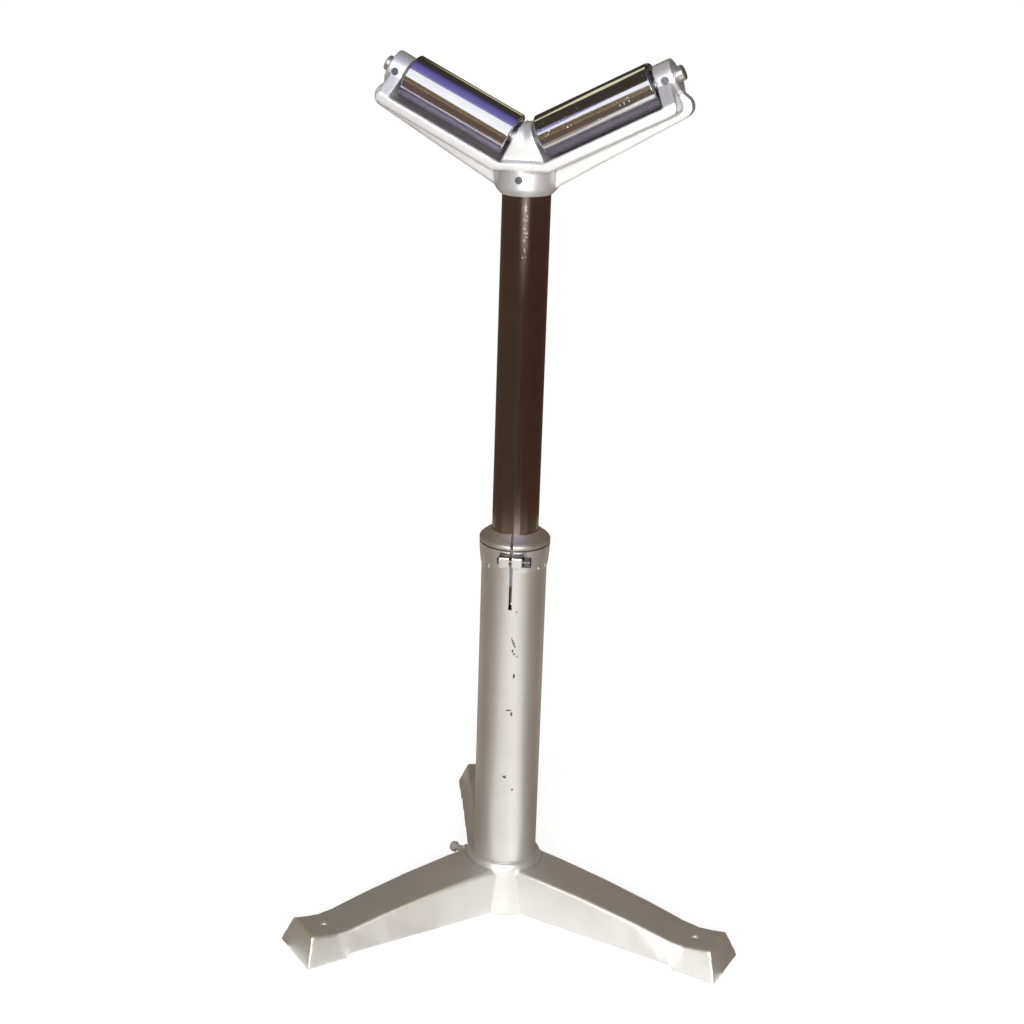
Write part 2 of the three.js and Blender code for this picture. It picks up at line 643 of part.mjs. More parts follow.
function armBody(side) {
  const place = (g) => solid(onArm(g, side));
  let body = place(upright(trayOutline(), YOKE_WIDTH));
  body = body.add(place(upright(ribOutline(), RIB_THICKNESS)));
  const ear = pushed(earOutline(), EAR_THICKNESS - TRAY_SET_BACK);
  body = body.add(place(alongX(ear).translate(EAR_START, 0, 0)));
  body = body.add(place(alongX(bar(EAR_RADIUS, EAR_START, EAR_END, BOSS_SIDES))));
  body = body.add(place(alongX(bar(ELBOW_RADIUS, 0, ELBOW_FACE, BOSS_SIDES))));
  const low = [-ELBOW_FACE / 2, -ELBOW_RADIUS, -TRAY_FLOOR_DROP];
  return body.add(place(block(low, [ELBOW_FACE, ELBOW_RADIUS, 0])));
}

function armCuts(side) {
  const place = (g) => solid(onArm(g, side));
  const inner = YOKE_HALF - RAIL_THICKNESS;
  let cuts = place(block([ELBOW_FACE, -inner, -TRAY_FLOOR_DROP], [EAR_START, inner, 2 * ROLLER_OD]));
  cuts = cuts.add(place(alongX(bar(AXLE_HOLE, AXLE_START - 1, EAR_END + 1, AXLE_SIDES))));
  const screw = bar(SET_SCREW_DIAMETER / 2 + SEAT_GAP, 0, YOKE_HALF, 16).rotateX(side * Math.PI / 2);
  return cuts.add(place(screw.translate(EAR_MIDDLE, 0, 0)));
}

function headYoke() {
  const foot = APEX_HEIGHT - SOCKET_DROP;
  const top = APEX_HEIGHT - BRIDGE_DROP;
  const socket = turned([
    [0, foot],
    [SOCKET_RADIUS - SOCKET_CHAMFER_WIDTH, foot],
    [SOCKET_RADIUS, foot + SOCKET_CHAMFER_HEIGHT],
    [SOCKET_RADIUS, top],
    [0, top],
  ], TUBE_SIDES);
  const bridge = block(
    [-BRIDGE_HALF_LENGTH, -YOKE_HALF, top - BRIDGE_HEIGHT],
    [BRIDGE_HALF_LENGTH, YOKE_HALF, top],
  );
  let body = solid(socket).add(solid(bridge)).add(armBody(1)).add(armBody(-1));
  body = body.subtract(armCuts(1)).subtract(armCuts(-1));
  const bore = bar(POLE_RADIUS + SEAT_GAP, foot - 5, foot + SOCKET_DEPTH, TUBE_SIDES);
  const thread = bar(SET_SCREW_DIAMETER / 2 + SEAT_GAP, 0, SOCKET_RADIUS + 1, 16);
  return body.subtract(solid(bore)).subtract(solid(headFront(thread)));
}

// Pieces that repeat on each roller axis
function axle() {
  return turned([
    [0, AXLE_START],
    [AXLE_RADIUS - AXLE_EDGE, AXLE_START],
    [AXLE_RADIUS, AXLE_START + AXLE_EDGE],
    [AXLE_RADIUS, AXLE_END - AXLE_EDGE],
    [AXLE_RADIUS - AXLE_EDGE, AXLE_END],
    [0, AXLE_END],
  ], AXLE_SIDES);
}

function rollerShell() {
  const seat = BEARING_RADIUS + SEAT_GAP;
  const bore = seat - SEAT_SHOULDER;
  const edge = Math.min(ROLLER_EDGE, (ROLLER_RADIUS - seat) / 2);
  const near = NEAR_BEARING + BEARING_WIDTH + SEAT_GAP;
  const far = FAR_BEARING - SEAT_GAP;
  return turned([
    [seat, ROLLER_START],
    [ROLLER_RADIUS - edge, ROLLER_START],
    [ROLLER_RADIUS, ROLLER_START + edge],
    [ROLLER_RADIUS, ROLLER_END - edge],
    [ROLLER_RADIUS - edge, ROLLER_END],
    [seat, ROLLER_END],
    [seat, far],
    [bore, far],
    [bore, near],
    [seat, near],
    [seat, ROLLER_START],
  ], ROLLER_SIDES);
}

function ballSet(start) {
  const middle = start + BEARING_WIDTH / 2;
  const half = CAGE_WIDTH / 2;
  const thin = CAGE_THICKNESS / 2;
  let body = solid(ring(BALL_PITCH - thin, BALL_PITCH + thin, middle - half, middle + half, 12));
  for (let i = 0; i < BALL_COUNT; i += 1) {
    const angle = (i * 2 * Math.PI) / BALL_COUNT + 0.1;
    const ball = new THREE.SphereGeometry(BALL_RADIUS, 6, 4);
    ball.translate(BALL_PITCH * Math.cos(angle), BALL_PITCH * Math.sin(angle), middle);
    body = body.add(solid(ball));
  }
  return body;
}

// One roller with its axle, bearings, spacer and washers
function rollerSet(name, side) {
  const set = new THREE.Group();
  const put = (label, geometry, material) => {
    set.add(piece(`${name}_${label}`, solid(onArm(alongX(geometry), side)), material));
  };
  const bore = AXLE_RADIUS + SEAT_GAP;
  put('roller', rollerShell(), chrome);
  put('axle', axle(), brightSteel);
  for (const [end, start] of [['near', NEAR_BEARING], ['far', FAR_BEARING]]) {
    const stop = start + BEARING_WIDTH;
    put(`${end}_outer_ring`, ring(OUTER_RING_BORE, BEARING_RADIUS, start, stop, BEARING_SIDES), brightSteel);
    put(`${end}_inner_ring`, ring(bore, INNER_RING_RADIUS, start, stop, BEARING_SIDES), brightSteel);
    const turn = new THREE.Matrix4().makeRotationY(-ROLLER_TILT);
    const half = new THREE.Matrix4().makeRotationZ(side < 0 ? Math.PI : 0);
    const lift = new THREE.Matrix4().makeTranslation(0, 0, APEX_HEIGHT);
    const place = lift.multiply(half).multiply(turn).multiply(ALONG_X);
    const balls = ballSet(start).transform(place.elements);
    set.add(piece(`${name}_${end}_balls`, balls, brightSteel));
  }
  const spacerStart = NEAR_BEARING + BEARING_WIDTH + SEAT_GAP;
  const spacerEnd = FAR_BEARING - SEAT_GAP;
  put('spacer', ring(bore, SPACER_RADIUS, spacerStart, spacerEnd, BEARING_SIDES), brightSteel);
  const nearWasher = [ELBOW_FACE + SEAT_GAP, NEAR_BEARING - SEAT_GAP];
  const farWasher = [FAR_BEARING + BEARING_WIDTH + SEAT_GAP, EAR_START - SEAT_GAP];
  put('near_washer', ring(bore, SPACER_RADIUS, nearWasher[0], nearWasher[1], BEARING_SIDES), brightSteel);
  put('far_washer', ring(bore, SPACER_RADIUS, farWasher[0], farWasher[1], BEARING_SIDES), brightSteel);
  const { profile, key } = setScrew(AXLE_RADIUS + REST_GAP, EAR_RADIUS - SET_SCREW_RECESS);
  const front = (g) => solid(onArm(g.rotateX((side * Math.PI) / 2).translate(EAR_MIDDLE, 0, 0), side));
  set.add(piece(`${name}_axle_screw`, front(turned(profile, 16)).subtract(front(key)), blackSteel));
  return set;
}

// Assembly
const stand = new THREE.Group();
stand.name = 'roller_stand';
stand.position.set(0, COLUMN_Y, 0);
stand.add(piece('base_casting', baseCasting(), castIron));
stand.add(piece('hub_lock_bolt', hubLockBolt(), brightSteel));
stand.add(piece('hub_lock_nut', hubLockNut(), brightSteel));

const column = new THREE.Group();
column.rotation.z = CLAMP_TURN;
column.add(piece('column_tube', columnTube(), paintedTube));
column.add(piece('clamp_sleeve', clampSleeve(), nylon));
column.add(piece('clamp_collar', clampCollar(), paintedTube));
column.add(piece('clamp_screw', clampScrew(), blackSteel));
column.add(piece('clamp_washer', clampWasher(), blackSteel));
stand.add(column);

const head = new THREE.Group();
head.rotation.z = HEAD_TURN;
head.add(piece('pole_tube', poleTube(), darkSteel));
head.add(piece('pole_guide', poleGuide(), nylon));
head.add(piece('pole_end_plug', poleEndPlug(), brightSteel));
head.add(piece('pole_stop_ring', poleStopRing(), brightSteel));
head.add(piece('head_yoke', headYoke(), castAluminium));
head.add(piece('head_set_screw', headSetScrew(), blackSteel));
head.add(rollerSet('left', -1));
head.add(rollerSet('right', 1));
stand.add(head);

const root = new THREE.Group();
root.add(stand);

export default root;
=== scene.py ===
import math
import bmesh
import bpy
import numpy as np
from mathutils import Matrix, Vector


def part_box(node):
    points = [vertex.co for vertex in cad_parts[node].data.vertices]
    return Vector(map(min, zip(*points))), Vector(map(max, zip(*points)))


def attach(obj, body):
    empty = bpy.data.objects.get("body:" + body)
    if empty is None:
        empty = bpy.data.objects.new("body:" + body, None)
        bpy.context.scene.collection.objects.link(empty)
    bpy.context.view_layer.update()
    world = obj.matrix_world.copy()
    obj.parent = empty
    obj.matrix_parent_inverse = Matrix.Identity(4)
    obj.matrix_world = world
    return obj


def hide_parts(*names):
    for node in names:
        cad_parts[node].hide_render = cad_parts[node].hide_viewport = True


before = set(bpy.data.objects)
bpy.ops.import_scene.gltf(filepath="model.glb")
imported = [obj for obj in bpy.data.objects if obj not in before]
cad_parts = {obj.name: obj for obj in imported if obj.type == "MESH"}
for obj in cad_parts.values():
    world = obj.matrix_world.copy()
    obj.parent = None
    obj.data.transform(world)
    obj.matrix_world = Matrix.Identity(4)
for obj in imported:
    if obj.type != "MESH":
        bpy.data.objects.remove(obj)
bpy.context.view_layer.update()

# ---------------------------------------------------------------------------------------------
# Base casting: a hub and three hollow legs, cast in iron in one piece and sprayed silver.
# The mould and the fettling round its edges; a pale yellow painted highlight runs along the legs' convex edges, and
# painted shade darkens the concave creases.
mm = 0.001
column_low, column_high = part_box("column_tube")
standing = Matrix.Translation(((column_low.x + column_high.x) / 2, (column_low.y + column_high.y) / 2, 0))


def new_piece(name, mesh):
    piece = bpy.data.objects.new(name, mesh)
    bpy.context.scene.collection.objects.link(piece)
    return piece


def settled(piece):
    bpy.context.view_layer.update()
    ready = piece.evaluated_get(bpy.context.evaluated_depsgraph_get())
    mesh = bpy.data.meshes.new_from_object(ready)
    piece.modifiers.clear()
    rough = piece.data
    piece.data = mesh
    bpy.data.meshes.remove(rough)
    mesh.name = piece.name
    return piece


def cast_skin(piece, grain, passes):
    skin = piece.modifiers.new("skin", "REMESH")
    skin.mode = "VOXEL"
    skin.voxel_size = grain
    rounding = piece.modifiers.new("rounding", "SMOOTH")
    rounding.factor = 0.5
    rounding.iterations = passes
    return settled(piece)


def mark_proud_edges(mesh, spread, full):
    count = len(mesh.vertices)
    at = np.empty(count * 3)
    mesh.vertices.foreach_get("co", at)
    out = np.empty(count * 3)
    mesh.vertices.foreach_get("normal", out)
    ends = np.empty(len(mesh.edges) * 2, dtype=np.int32)
    mesh.edges.foreach_get("vertices", ends)
    at = at.reshape(-1, 3)
    out = out.reshape(-1, 3)
    a, b = ends.reshape(-1, 2).T
    along = at[b] - at[a]
    along /= np.linalg.norm(along, axis=1)[:, None] + 1e-9
    near = np.maximum(np.bincount(ends, minlength=count), 1)
    proud = np.bincount(a, -(out[a] * along).sum(1), count) + np.bincount(b, (out[b] * along).sum(1), count)
    proud /= near
    for _ in range(spread):
        around = np.bincount(a, proud[b], count) + np.bincount(b, proud[a], count)
        proud = (proud + around / near) / 2
    marks = mesh.attributes.new("proud", "FLOAT", "POINT")
    marks.data.foreach_set("value", np.clip(proud / full, -1, 1).astype(np.float32))


def put(tree, kind, sockets=(), **settings):
    made = tree.nodes.new(kind)
    for name, value in settings.items():
        setattr(made, name, value)
    for socket, value in dict(sockets).items():
        if isinstance(value, bpy.types.NodeSocket):
            tree.links.new(value, made.inputs[socket])
        else:
            made.inputs[socket].default_value = value
    return made


def mottle(tree, where, scale, detail=2.0, roughness=0.5):
    sockets = {"Vector": where, "Scale": scale, "Detail": detail, "Roughness": roughness}
    return put(tree, "ShaderNodeTexNoise", sockets).outputs["Fac"]


def ranged(tree, value, low, high, start=0.0, stop=1.0):
    sockets = {"Value": value, "From Min": low, "From Max": high, "To Min": start, "To Max": stop}
    return put(tree, "ShaderNodeMapRange", sockets).outputs["Result"]


def figured(tree, way, first, second):
    return put(tree, "ShaderNodeMath", {0: first, 1: second}, operation=way).outputs[0]


def tinted(tree, share, first, second, way="MIX"):
    mix = put(tree, "ShaderNodeMix", {0: share, 6: first, 7: second}, data_type="RGBA", blend_type=way)
    return mix.outputs[2]


def bare_material(name):
    material = bpy.data.materials.new(name)
    material.use_nodes = True
    tree = material.node_tree
    where = tree.nodes.new("ShaderNodeTexCoord").outputs["Object"]
    return material, tree, tree.nodes["Principled BSDF"], where


cast_silver, tree, shader, where = bare_material("cast_base_silver")
edge = put(tree, "ShaderNodeAttribute", attribute_name="proud").outputs["Fac"]
rise = put(tree, "ShaderNodeSeparateXYZ", {0: where}).outputs["Z"]
away = put(tree, "ShaderNodeVectorMath", {0: where, 1: standing.translation}, operation="DISTANCE").outputs["Value"]
on_leg = figured(tree, "MULTIPLY", ranged(tree, rise, 0.012, 0.022), ranged(tree, away, 0.085, 0.10))
# Painted highlight mask: convex edges of the legs, kept off the hub and the floor.
painted_edge_highlight = figured(tree, "MULTIPLY", ranged(tree, edge, 0.25, 0.75, 0.0, 0.9), on_leg)
cloudy = mottle(tree, where, 16, 3)
flake = mottle(tree, where, 900, 2, 0.6)
lumps = mottle(tree, where, 95, 4, 0.6)
pits = ranged(tree, mottle(tree, where, 210, 2), 0.68, 0.76)
tone = tinted(tree, ranged(tree, cloudy, 0.35, 0.65), (0.80, 0.782, 0.755, 1), (0.87, 0.852, 0.825, 1))
tone = tinted(tree, ranged(tree, flake, 0.35, 0.65, 0.0, 0.16), tone, (0.94, 0.93, 0.91, 1))
# Painted highlight: a pale yellow line along the legs' convex edges.
tone = tinted(tree, painted_edge_highlight, tone, (1.0, 0.94, 0.68, 1))
# Painted shade: concave creases darkened to brown-grey.
tone = tinted(tree, ranged(tree, edge, -0.2, -0.8, 0.0, 0.45), tone, (0.30, 0.26, 0.21, 1))
tone = tinted(tree, figured(tree, "MULTIPLY", pits, 0.25), tone, (0.34, 0.30, 0.26, 1))
tree.links.new(tone, shader.inputs["Base Color"])
shader.inputs["Metallic"].default_value = 0.87
tree.links.new(ranged(tree, flake, 0.3, 0.7, 0.46, 0.58), shader.inputs["Roughness"])
skin_height = figured(tree, "SUBTRACT", lumps, figured(tree, "MULTIPLY", pits, 0.5))
skin_height = figured(tree, "ADD", skin_height, figured(tree, "MULTIPLY", flake, 0.25))
bump = put(tree, "ShaderNodeBump", {"Strength": 0.35, "Distance": 0.0007, "Height": skin_height})
tree.links.new(bump.outputs["Normal"], shader.inputs["Normal"])

rough_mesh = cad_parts["base_casting"].data.copy()
rough_mesh.materials.clear()
form = bmesh.new()
form.from_mesh(rough_mesh)
bmesh.ops.remove_doubles(form, verts=form.verts, dist=1e-6)
form.to_mesh(rough_mesh)
form.free()
base = cast_skin(new_piece("cast_base", rough_mesh), 1.8 * mm, 3)
spots = np.array([v.co - standing.translation for v in base.data.vertices])
reach = np.hypot(spots[:, 0], spots[:, 1])
ring = (reach / (4 * mm)).astype(int)
crest = np.zeros(ring.max() + 1)
np.maximum.at(crest, ring, spots[:, 2])
rim = np.ones(ring.max() + 1)
np.minimum.at(rim, ring, spots[:, 2])
flank = np.clip((crest[ring] - spots[:, 2] - 6 * mm) / (5 * mm), 0, 1) * np.clip((spots[:, 2] - rim[ring] - 7 * mm) / (4 * mm), 0, 1)
flank *= np.clip((reach - 190 * mm) / (20 * mm), 0, 1) * np.clip((278 * mm - reach) / (12 * mm), 0, 1)
dressed = base.vertex_groups.new(name="flank")
for k in np.flatnonzero(flank > 0.02):
    dressed.add([int(k)], float(flank[k]), "REPLACE")
fettled = base.modifiers.new("fettled", "SMOOTH")
fettled.factor = 0.5
fettled.iterations = 120
fettled.vertex_group = "flank"
settled(base)
base.vertex_groups.clear()
base.data.shade_smooth()
mark_proud_edges(base.data, 2, 0.16)


def finished_in(piece, material):
    piece.data.materials.clear()
    piece.data.materials.append(material)
    piece.data.polygons.foreach_set("material_index", [0] * len(piece.data.polygons))


finished_in(base, cast_silver)


def fit(piece, body, slot, *nodes):
    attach(piece, body)
    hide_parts(*nodes)


fit(base, "stand", "cast_base", "base_casting")

# ---------------------------------------------------------------------------------------------
# Hub lock bolt and nut: a turned, zinc-plated steel bolt with a domed head, screwed through the
# hub's side until it bears on the column, and a hexagon nut run down against the hub to hold it.
along_x = Matrix(((0, 0, 1, 0), (1, 0, 0, 0), (0, 1, 0, 0), (0, 0, 0, 1)))
lock_place = standing @ Matrix.Rotation(math.radians(150), 4, "Z") @ Matrix.Translation((0, 0, 45 * mm)) @ along_x


def eased(profile, size, steps=4):
    """Rounds each corner of a (radius, height) line, with a support point either side."""
    closed = profile[0] == profile[-1]
    points = [Vector(p) for p in (profile[:-1] if closed else profile)]
    rounded = []
    for i, corner in enumerate(points):
        if not closed and i in (0, len(points) - 1):
            rounded.append(tuple(corner))
            continue
        back = points[i - 1] - corner
        on = points[(i + 1) % len(points)] - corner
        reach = min(size, back.length * 0.24, on.length * 0.24)
        first = corner + back.normalized() * reach
        last = corner + on.normalized() * reach
        rounded.append(tuple(first + back.normalized() * reach))
        for k in range(steps + 1):
            t = k / steps
            rounded.append(tuple(first * (1 - t) ** 2 + corner * 2 * t * (1 - t) + last * t ** 2))
        rounded.append(tuple(last + on.normalized() * reach))
    return rounded + rounded[:1] if closed else rounded


def turned(profile, sides):
    form = bmesh.new()
    rings = []
    for radius, height in profile:
        if radius < 1e-9:
            rings.append([form.verts.new((0, 0, height))])
            continue
        turns = [2 * math.pi * k / sides for k in range(sides)]
        rings.append([form.verts.new((radius * math.cos(t), radius * math.sin(t), height)) for t in turns])
    if profile[0] == profile[-1]:
        bmesh.ops.delete(form, geom=rings[-1], context="VERTS")
        rings[-1] = rings[0]
    for lower, upper in zip(rings, rings[1:]):
        for k in range(sides):
            j = (k + 1) % sides
            corners = (lower[k % len(lower)], lower[j % len(lower)], upper[j % len(upper)], upper[k % len(upper)])
            form.faces.new(list(dict.fromkeys(corners)))
    return form


def shaped(form, name, place=Matrix(), crease=32):
    bmesh.ops.transform(form, matrix=place, verts=form.verts)
    bmesh.ops.recalc_face_normals(form, faces=form.faces)
    mesh = bpy.data.meshes.new(name)
    form.to_mesh(mesh)
    form.free()
    mesh.shade_smooth()
    mesh.set_sharp_from_angle(angle=math.radians(crease))
    return mesh


def carved(piece, way, *forms, crease=32):
    tools = []
    for k, form in enumerate(forms):
        tool = new_piece(f"{piece.name}_tool_{k}", shaped(form, "tool"))
        cut = piece.modifiers.new("carve", "BOOLEAN")
        cut.operation = way
        cut.solver = "MANIFOLD"
        cut.object = tool
        tools.append(tool)
    settled(piece)
    for tool in tools:
        bpy.data.objects.remove(tool)
    piece.data.shade_smooth()
    piece.data.set_sharp_from_angle(angle=math.radians(crease))
    return piece


def steel(name, colour, worn, roughness, scale):
    material, tree, shader, where = bare_material(name)
    stain = mottle(tree, where, scale, 3)
    fine = mottle(tree, where, scale * 9, 2)
    tone = tinted(tree, ranged(tree, stain, 0.35, 0.7), (*colour, 1), (*worn, 1))
    tree.links.new(tone, shader.inputs["Base Color"])
    shader.inputs["Metallic"].default_value = 1.0
    tree.links.new(ranged(tree, fine, 0.3, 0.7, roughness * 0.8, roughness * 1.3), shader.inputs["Roughness"])
    bump = put(tree, "ShaderNodeBump", {"Strength": 0.15, "Distance": 0.0001, "Height": fine})
    tree.links.new(bump.outputs["Normal"], shader.inputs["Normal"])
    return material


bright_steel = steel("machined_bright_steel", (0.80, 0.79, 0.78), (0.62, 0.60, 0.58), 0.26, 130)
zinc, tree, shader, where = bare_material("zinc_plated_steel")
tone = tinted(tree, ranged(tree, mottle(tree, where, 130, 3), 0.35, 0.7), (0.68, 0.66, 0.63, 1), (0.54, 0.52, 0.49, 1))
tree.links.new(tone, shader.inputs["Base Color"])
shader.inputs["Metallic"].default_value = 0.45
shader.inputs["Roughness"].default_value = 0.34
lock_axis = Vector((math.cos(math.radians(150)), math.sin(math.radians(150)), 0))


def reach_along(node, axis):
    reaches = [(v.co - standing.translation).dot(axis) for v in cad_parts[node].data.vertices]
    return min(reaches), max(reaches)


tip, crown = reach_along("hub_lock_bolt", lock_axis)
bolt_line = [
    (0, tip), (3 * mm, tip), (4 * mm, tip + 1 * mm), (4 * mm, crown - 8 * mm), (6.5 * mm, crown - 8 * mm),
    (6.5 * mm, crown - 3.4 * mm), (4.6 * mm, crown - 0.8 * mm), (0, crown),
]
bolt = new_piece("hub_bolt", shaped(turned(eased(bolt_line, 1.1 * mm), 64), "hub_bolt", lock_place))
finished_in(bolt, zinc)
fit(bolt, "stand", "bright_steel", "hub_lock_bolt")

nut_face, nut_back = reach_along("hub_lock_nut", lock_axis)
corner = 13 * mm / math.sqrt(3)
nut = new_piece("hub_nut", shaped(turned([(0, nut_face), (corner, nut_face), (corner, nut_back), (0, nut_back)], 6), "hub_nut", lock_place))
chamfer = [(0, nut_face), (corner * 0.86, nut_face), (corner * 1.01, nut_face + 0.8 * mm), (corner * 1.01, nut_back - 0.8 * mm), (corner * 0.86, nut_back), (0, nut_back)]
cone = turned(chamfer, 64)
bmesh.ops.transform(cone, matrix=lock_place, verts=cone.verts)
carved(nut, "INTERSECT", cone)
hole = turned([(0, nut_face - mm), (4.2 * mm, nut_face - mm), (4.2 * mm, nut_back + mm), (0, nut_back + mm)], 48)
bmesh.ops.transform(hole, matrix=lock_place, verts=hole.verts)
carved(nut, "DIFFERENCE", hole)
finished_in(nut, zinc)
fit(nut, "stand", "bright_steel", "hub_lock_nut")

# ---------------------------------------------------------------------------------------------
# Column: a drawn steel tube that stands on the ledge in the hub, sawn down the front at its top.
# It is sprayed silver like the base, smooth with a little orange peel, and the paint is chipped.
clamp_turn = standing @ Matrix.Rotation(math.radians(-8), 4, "Z")
tube_foot, tube_top = column_low.z, column_high.z
slit_foot = 402 * mm
slit_half = 1.8 * mm


def block(low, high, place=Matrix()):
    form = bmesh.new()
    bmesh.ops.create_cube(form, size=1)
    size = Vector(high) - Vector(low)
    middle = (Vector(high) + Vector(low)) / 2
    bmesh.ops.scale(form, vec=size, verts=form.verts)
    bmesh.ops.translate(form, vec=middle, verts=form.verts)
    bmesh.ops.transform(form, matrix=place, verts=form.verts)
    return form


def sprayed_tube(name, chips=(), painted_shade_bands=None):
    material, tree, shader, where = bare_material(name)
    cloudy = mottle(tree, where, 11, 3)
    flake = mottle(tree, where, 1300, 2, 0.6)
    peel = mottle(tree, where, 330, 1)
    tone = tinted(tree, ranged(tree, cloudy, 0.35, 0.65), (0.84, 0.825, 0.80, 1), (0.91, 0.90, 0.88, 1))
    tone = tinted(tree, ranged(tree, flake, 0.35, 0.65, 0.0, 0.16), tone, (0.95, 0.94, 0.92, 1))
    rub = ranged(tree, mottle(tree, where, 60, 5, 0.7), 0.64, 0.80, 0.0, 0.18)
    tone = tinted(tree, rub, tone, (0.52, 0.46, 0.41, 1))
    height = peel
    chipped = None
    for place, width, tall in chips:
        ragged = put(tree, "ShaderNodeTexNoise", {"Vector": where, "Scale": 420.0, "Detail": 3.0}).outputs["Color"]
        off = put(tree, "ShaderNodeVectorMath", {0: where, 1: place}, operation="SUBTRACT").outputs[0]
        wild = put(tree, "ShaderNodeVectorMath", {0: ragged, 1: (0.5, 0.5, 0.5)}, operation="SUBTRACT").outputs[0]
        wild = put(tree, "ShaderNodeVectorMath", {0: wild, "Scale": 0.004}, operation="SCALE").outputs[0]
        off = put(tree, "ShaderNodeVectorMath", {0: off, 1: wild}, operation="ADD").outputs[0]
        off = put(tree, "ShaderNodeVectorMath", {0: off, 1: (1 / width, 0.2 / width, 1 / tall)}, operation="MULTIPLY").outputs[0]
        far = put(tree, "ShaderNodeVectorMath", {0: off}, operation="LENGTH").outputs["Value"]
        here = ranged(tree, far, 1.0, 0.85)
        chipped = here if chipped is None else figured(tree, "MAXIMUM", chipped, here)
    if chipped is not None:
        tone = tinted(tree, chipped, tone, (0.17, 0.155, 0.145, 1))
        height = figured(tree, "SUBTRACT", peel, figured(tree, "MULTIPLY", chipped, 1.5))
    # Painted shade: the lugs' top and bottom faces and the groove under the shoulder are darkened.
    if painted_shade_bands is not None:
        parts = put(tree, "ShaderNodeSeparateXYZ", {0: where}).outputs
        level = put(tree, "ShaderNodeVectorMath", {0: where, 1: (1, 1, 0)}, operation="MULTIPLY").outputs[0]
        outward = put(tree, "ShaderNodeVectorMath", {0: level, 1: standing.translation}, operation="DISTANCE").outputs["Value"]
        low, high, start, groove_low, groove_high = painted_shade_bands
        capped = figured(tree, "ADD", ranged(tree, parts["Z"], high - 0.0008, high - 0.0002), ranged(tree, parts["Z"], low + 0.0008, low + 0.0002))
        grooved = figured(tree, "MULTIPLY", ranged(tree, parts["Z"], groove_low, groove_low + 0.0004), ranged(tree, parts["Z"], groove_high, groove_high - 0.0004))
        painted_shade = figured(tree, "MAXIMUM", figured(tree, "MULTIPLY", capped, ranged(tree, outward, start, start + 0.001)), grooved)
        tone = tinted(tree, painted_shade, tone, (0.22, 0.20, 0.18, 1))
        # Painted shade: the collar above the groove is tinted darker and warmer.
        tone = tinted(tree, ranged(tree, parts["Z"], groove_high, groove_high + 0.002), tone, (0.86, 0.79, 0.71, 1))
    tree.links.new(tone, shader.inputs["Base Color"])
    shader.inputs["Metallic"].default_value = 0.9
    tree.links.new(ranged(tree, flake, 0.3, 0.7, 0.36, 0.47), shader.inputs["Roughness"])
    bump = put(tree, "ShaderNodeBump", {"Strength": 0.12, "Distance": 0.0003, "Height": height})
    tree.links.new(bump.outputs["Normal"], shader.inputs["Normal"])
    return material


chips = []
for across, height, width, tall in (
    (-1.6, 364, 0.8, 2.6), (-0.4, 360.5, 0.9, 3.0), (0.9, 357, 0.9, 3.0), (1.9, 354.5, 0.8, 1.8), (-0.6, 348.5, 1.0, 2.2),
    (1.4, 345, 1.4, 1.2), (4.6, 342, 0.9, 1.2), (2.1, 317, 1.4, 3.0), (2.6, 398, 0.6, 1.4), (-4.4, 272, 1.6, 1.0),
    (-1.6, 272.4, 2.4, 0.9), (0.5, 267, 1.0, 3.2), (-5.0, 184, 2.4, 1.9), (4.5, 167, 1.3, 1.9),
):
    front = standing.translation.y - math.sqrt(38 ** 2 - across ** 2) * mm
    chips.append(((standing.translation.x + across * mm, front, height * mm), width * mm, tall * mm))
column_silver = sprayed_tube("column_silver", chips)
tube_line = [(34.4 * mm, tube_foot), (38 * mm, tube_foot), (38 * mm, tube_top), (34.4 * mm, tube_top), (34.4 * mm, tube_foot)]
column = new_piece("column", shaped(turned(eased(tube_line, 0.6 * mm), 160), "column", clamp_turn))
slit = ((-slit_half, -0.07, slit_foot), (slit_half, 0, 0.52), clamp_turn)
drill = turned([(0, 0.02), (slit_half * 1.25, 0.02), (slit_half * 1.25, 0.06), (0, 0.06)], 40)
slit_end = clamp_turn @ Matrix.Translation((0, 0, slit_foot)) @ Matrix.Rotation(math.radians(90), 4, "X")
bmesh.ops.transform(drill, matrix=slit_end, verts=drill.verts)
carved(column, "DIFFERENCE", block(*slit), drill)
finished_in(column, column_silver)
fit(column, "stand", "painted_steel", "column_tube")

# ---------------------------------------------------------------------------------------------
# Clamp collar: a turned steel sleeve pressed over the column's top and tacked to it at its foot,
# with two lugs welded across the slit. It is painted with the column, over the welds. Painted
# shade darkens the lugs' tops and bottoms and the groove, and the shoulder is tinted warmer.
collar_foot, collar_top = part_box("clamp_collar")[0].z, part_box("clamp_collar")[1].z
shoulder = collar_top - 11.5 * mm
lug_low, lug_high = 458.5 * mm, 472.5 * mm
lug_reach = 56 * mm


def slab(outline, start, stop, along, place=Matrix()):
    form = bmesh.new()
    spots = {"x": lambda u, v, w: (w, u, v), "y": lambda u, v, w: (u, w, v), "z": lambda u, v, w: (u, v, w)}
    near = [form.verts.new(spots[along](u, v, start)) for u, v in outline]
    far = [form.verts.new(spots[along](u, v, stop)) for u, v in outline]
    form.faces.new(near)
    form.faces.new(far[::-1])
    for k in range(len(outline)):
        j = (k + 1) % len(outline)
        form.faces.new((near[k], near[j], far[j], far[k]))
    bmesh.ops.recalc_face_normals(form, faces=form.faces)
    bmesh.ops.transform(form, matrix=place, verts=form.verts)
    return form


